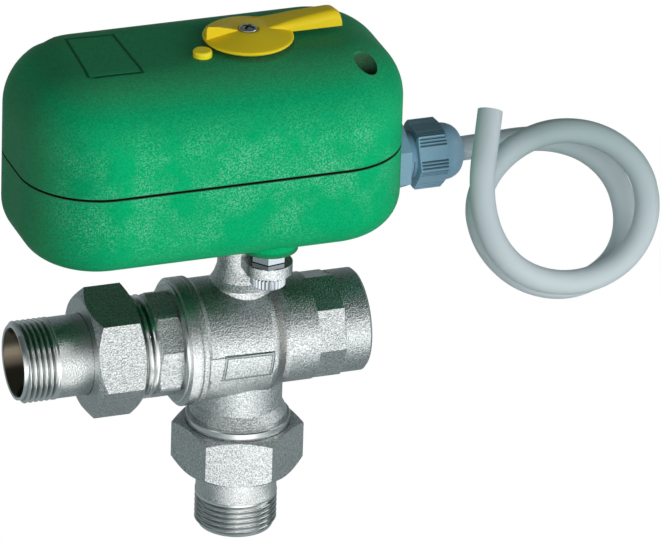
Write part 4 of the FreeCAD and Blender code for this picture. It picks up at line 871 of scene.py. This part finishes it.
def lever():
    piece = lever_disc()
    shape = bmesh.new()
    for mesh in (piece.data, lever_handle(), lever_pointer()):
        shape.from_mesh(mesh)
    shape.to_mesh(piece.data)
    shape.free()
    return piece


seat(lever(), "drive", "lever", yellow, sharp=38)

# %% [markdown]
# The lever's screw has a low domed head with a cross for the driver. The cross is
# too small to need a shape, so its finish paints shade into it and sinks it by relief.

# %% Lever screw
def lever_screw():
    shank, head, rise, seat_height = 1.5, 2.95, 0.8, 173.5
    outline = [(165.0, hair), (165.0, shank), (172.92, shank), (172.92, head), (seat_height, head)]
    for k in range(1, 11):
        turn = math.radians(9 * k)
        outline.append((seat_height + rise * math.sin(turn), max(hair, head * math.cos(turn))))
    return lathe("cross_head_screw", outline, 96)


def cross_steel():
    made = Finish("cross_steel", (0.62, 0.66, 0.68), 0.16, Metallic=1.0)
    one, other = (made.x + made.y).absolute(), (made.x - made.y).absolute()
    near, far = one.least(other), one.most(other)
    # Painted shade in the recess of the cross.
    cross = near.fade(0.6 * mm, 1.0 * mm) * (far < 3.0 * mm) * (made.z > 173 * mm)
    made.set("Base Color", made.blend(cross, made.color, (0.02, 0.02, 0.02)))
    made.relief(cross * -0.5)
    return made.material


seat(lever_screw(), "drive", "lever_screw", cross_steel())

# %% [markdown]
# ## Floor
# The floor is white for the camera. Bare metal shows mostly what it mirrors, and
# a floor that is as bright everywhere would wash the valve out. So mirrored rays
# see a floor that is bright in front of the valve, in a wedge toward the camera,
# and dim and a little cool below it.

# %% Floor
pale, cool = (1.0, 1.0, 1.0), (0.84, 0.98, 1.0)


def camera_and_mirror(nodes):
    """One for a ray from the camera, and one for a mirrored ray."""
    rays = nodes.add("ShaderNodeLightPath")
    return [Number(nodes, rays.outputs[kind]) for kind in ("Is Camera Ray", "Is Glossy Ray")]


def floor_material():
    made = Finish("floor_white", (0.86, 0.86, 0.86), 0.9)
    seen, mirrored = camera_and_mirror(made)
    ahead = made.y * -1
    wedge = (made.x / ahead.most(0.001) + 0.05).absolute().fade(0.25, 0.75) * ahead.ramp(0.012, 0.022)
    front = ahead.ramp(0.05, 0.12).most(wedge * 1.2) + ahead.ramp(0.11, 0.16) * 0.5
    tint = made.blend(front.most(seen).clamped(), cool, pale)
    strength = seen + mirrored * (0.34 + front)
    glow = made.add("ShaderNodeEmission", {"Color": tint, "Strength": strength})
    inputs = {0: seen.most(mirrored * 0.95), 1: made.shader.outputs[0], 2: glow.outputs[0]}
    mix = made.add("ShaderNodeMixShader", inputs)
    made.tree.links.new(mix.outputs[0], made.tree.nodes["Material Output"].inputs["Surface"])
    return made.material


floor_mesh = bpy.data.meshes.new("floor")
floor_mesh.from_pydata([(-3, -3, 0), (3, -3, 0), (3, 3, 0), (-3, 3, 0)], [], [(0, 1, 2, 3)])
floor_mesh.materials.append(floor_material())
floor = linked("floor", floor_mesh)
print("floor:", floor.name)

# %% [markdown]
# ## Light
# A broad screen low in front lights the valve and fades with height, which keeps
# the top of the housing and of the pipes dull. Mirrored rays see a taller and
# dimmer screen. The rest of the studio is dim and cool, and the camera sees
# white. Three lamps lift the front, the right and the edges at the back. Two of
# them are kept out of mirrors.

# %% Studio
world = bpy.data.worlds.new("studio")
bpy.context.scene.world = world
world.use_nodes = True
studio = Nodes(world.node_tree)
seen, mirrored = camera_and_mirror(studio)
east, north, height = studio.parts(studio.add("ShaderNodeTexCoord").outputs["Generated"])
facing = (east * 0.25 - north).ramp(0.05, 0.55)
screen = height.fade(0.18, 0.42) * facing
mirrored_screen = height.fade(0.0, 0.64) * facing
behind = height.fade(0.20, 0.50) * (1 - screen)
light = screen * 2.15 * (1 - mirrored) + mirrored_screen * 1.4 * mirrored
dim_light = (0.10 + behind * 0.14) * (1 - seen)
bright_sky = world.node_tree.nodes["Background"]
bright_sky.inputs["Color"].default_value = (*pale, 1)
world.node_tree.links.new((light * (1 - seen) + seen).socket, bright_sky.inputs["Strength"])
dim_sky = studio.add("ShaderNodeBackground", {"Color": (*cool, 1), "Strength": dim_light})
both = studio.add("ShaderNodeAddShader", {0: bright_sky.outputs[0], 1: dim_sky.outputs[0]})
world.node_tree.links.new(both.outputs[0], world.node_tree.nodes["World Output"].inputs["Surface"])
bpy.context.scene.view_settings.view_transform = "Standard"
print("world:", world.name)

# %% Lamps
aim = Vector((0.02, 0, 0.10))


def softbox(name, angle, height, reach, width, tall, power, mirrored=True):
    """An area light this many degrees round from the front and above the valve."""
    light = bpy.data.lights.new(name, "AREA")
    light.shape = "RECTANGLE"
    light.size, light.size_y = width, tall
    light.energy = power
    lamp = linked(name, light)
    around, above = math.radians(angle), math.radians(height)
    away = Vector((math.sin(around) * math.cos(above),
                   -math.cos(around) * math.cos(above), math.sin(above)))
    lamp.location = aim + away * reach
    lamp.rotation_euler = away.to_track_quat("Z", "Y").to_euler()
    lamp.visible_glossy = mirrored
    print(name, "lamp", power, "W")


softbox("front", 5, 18, 1.3, 0.9, 0.5, 4.0, mirrored=False)
softbox("right", 70, 30, 1.6, 0.8, 0.6, 2.5)
softbox("back", 180, 6, 1.6, 1.4, 0.5, 6.0, mirrored=False)
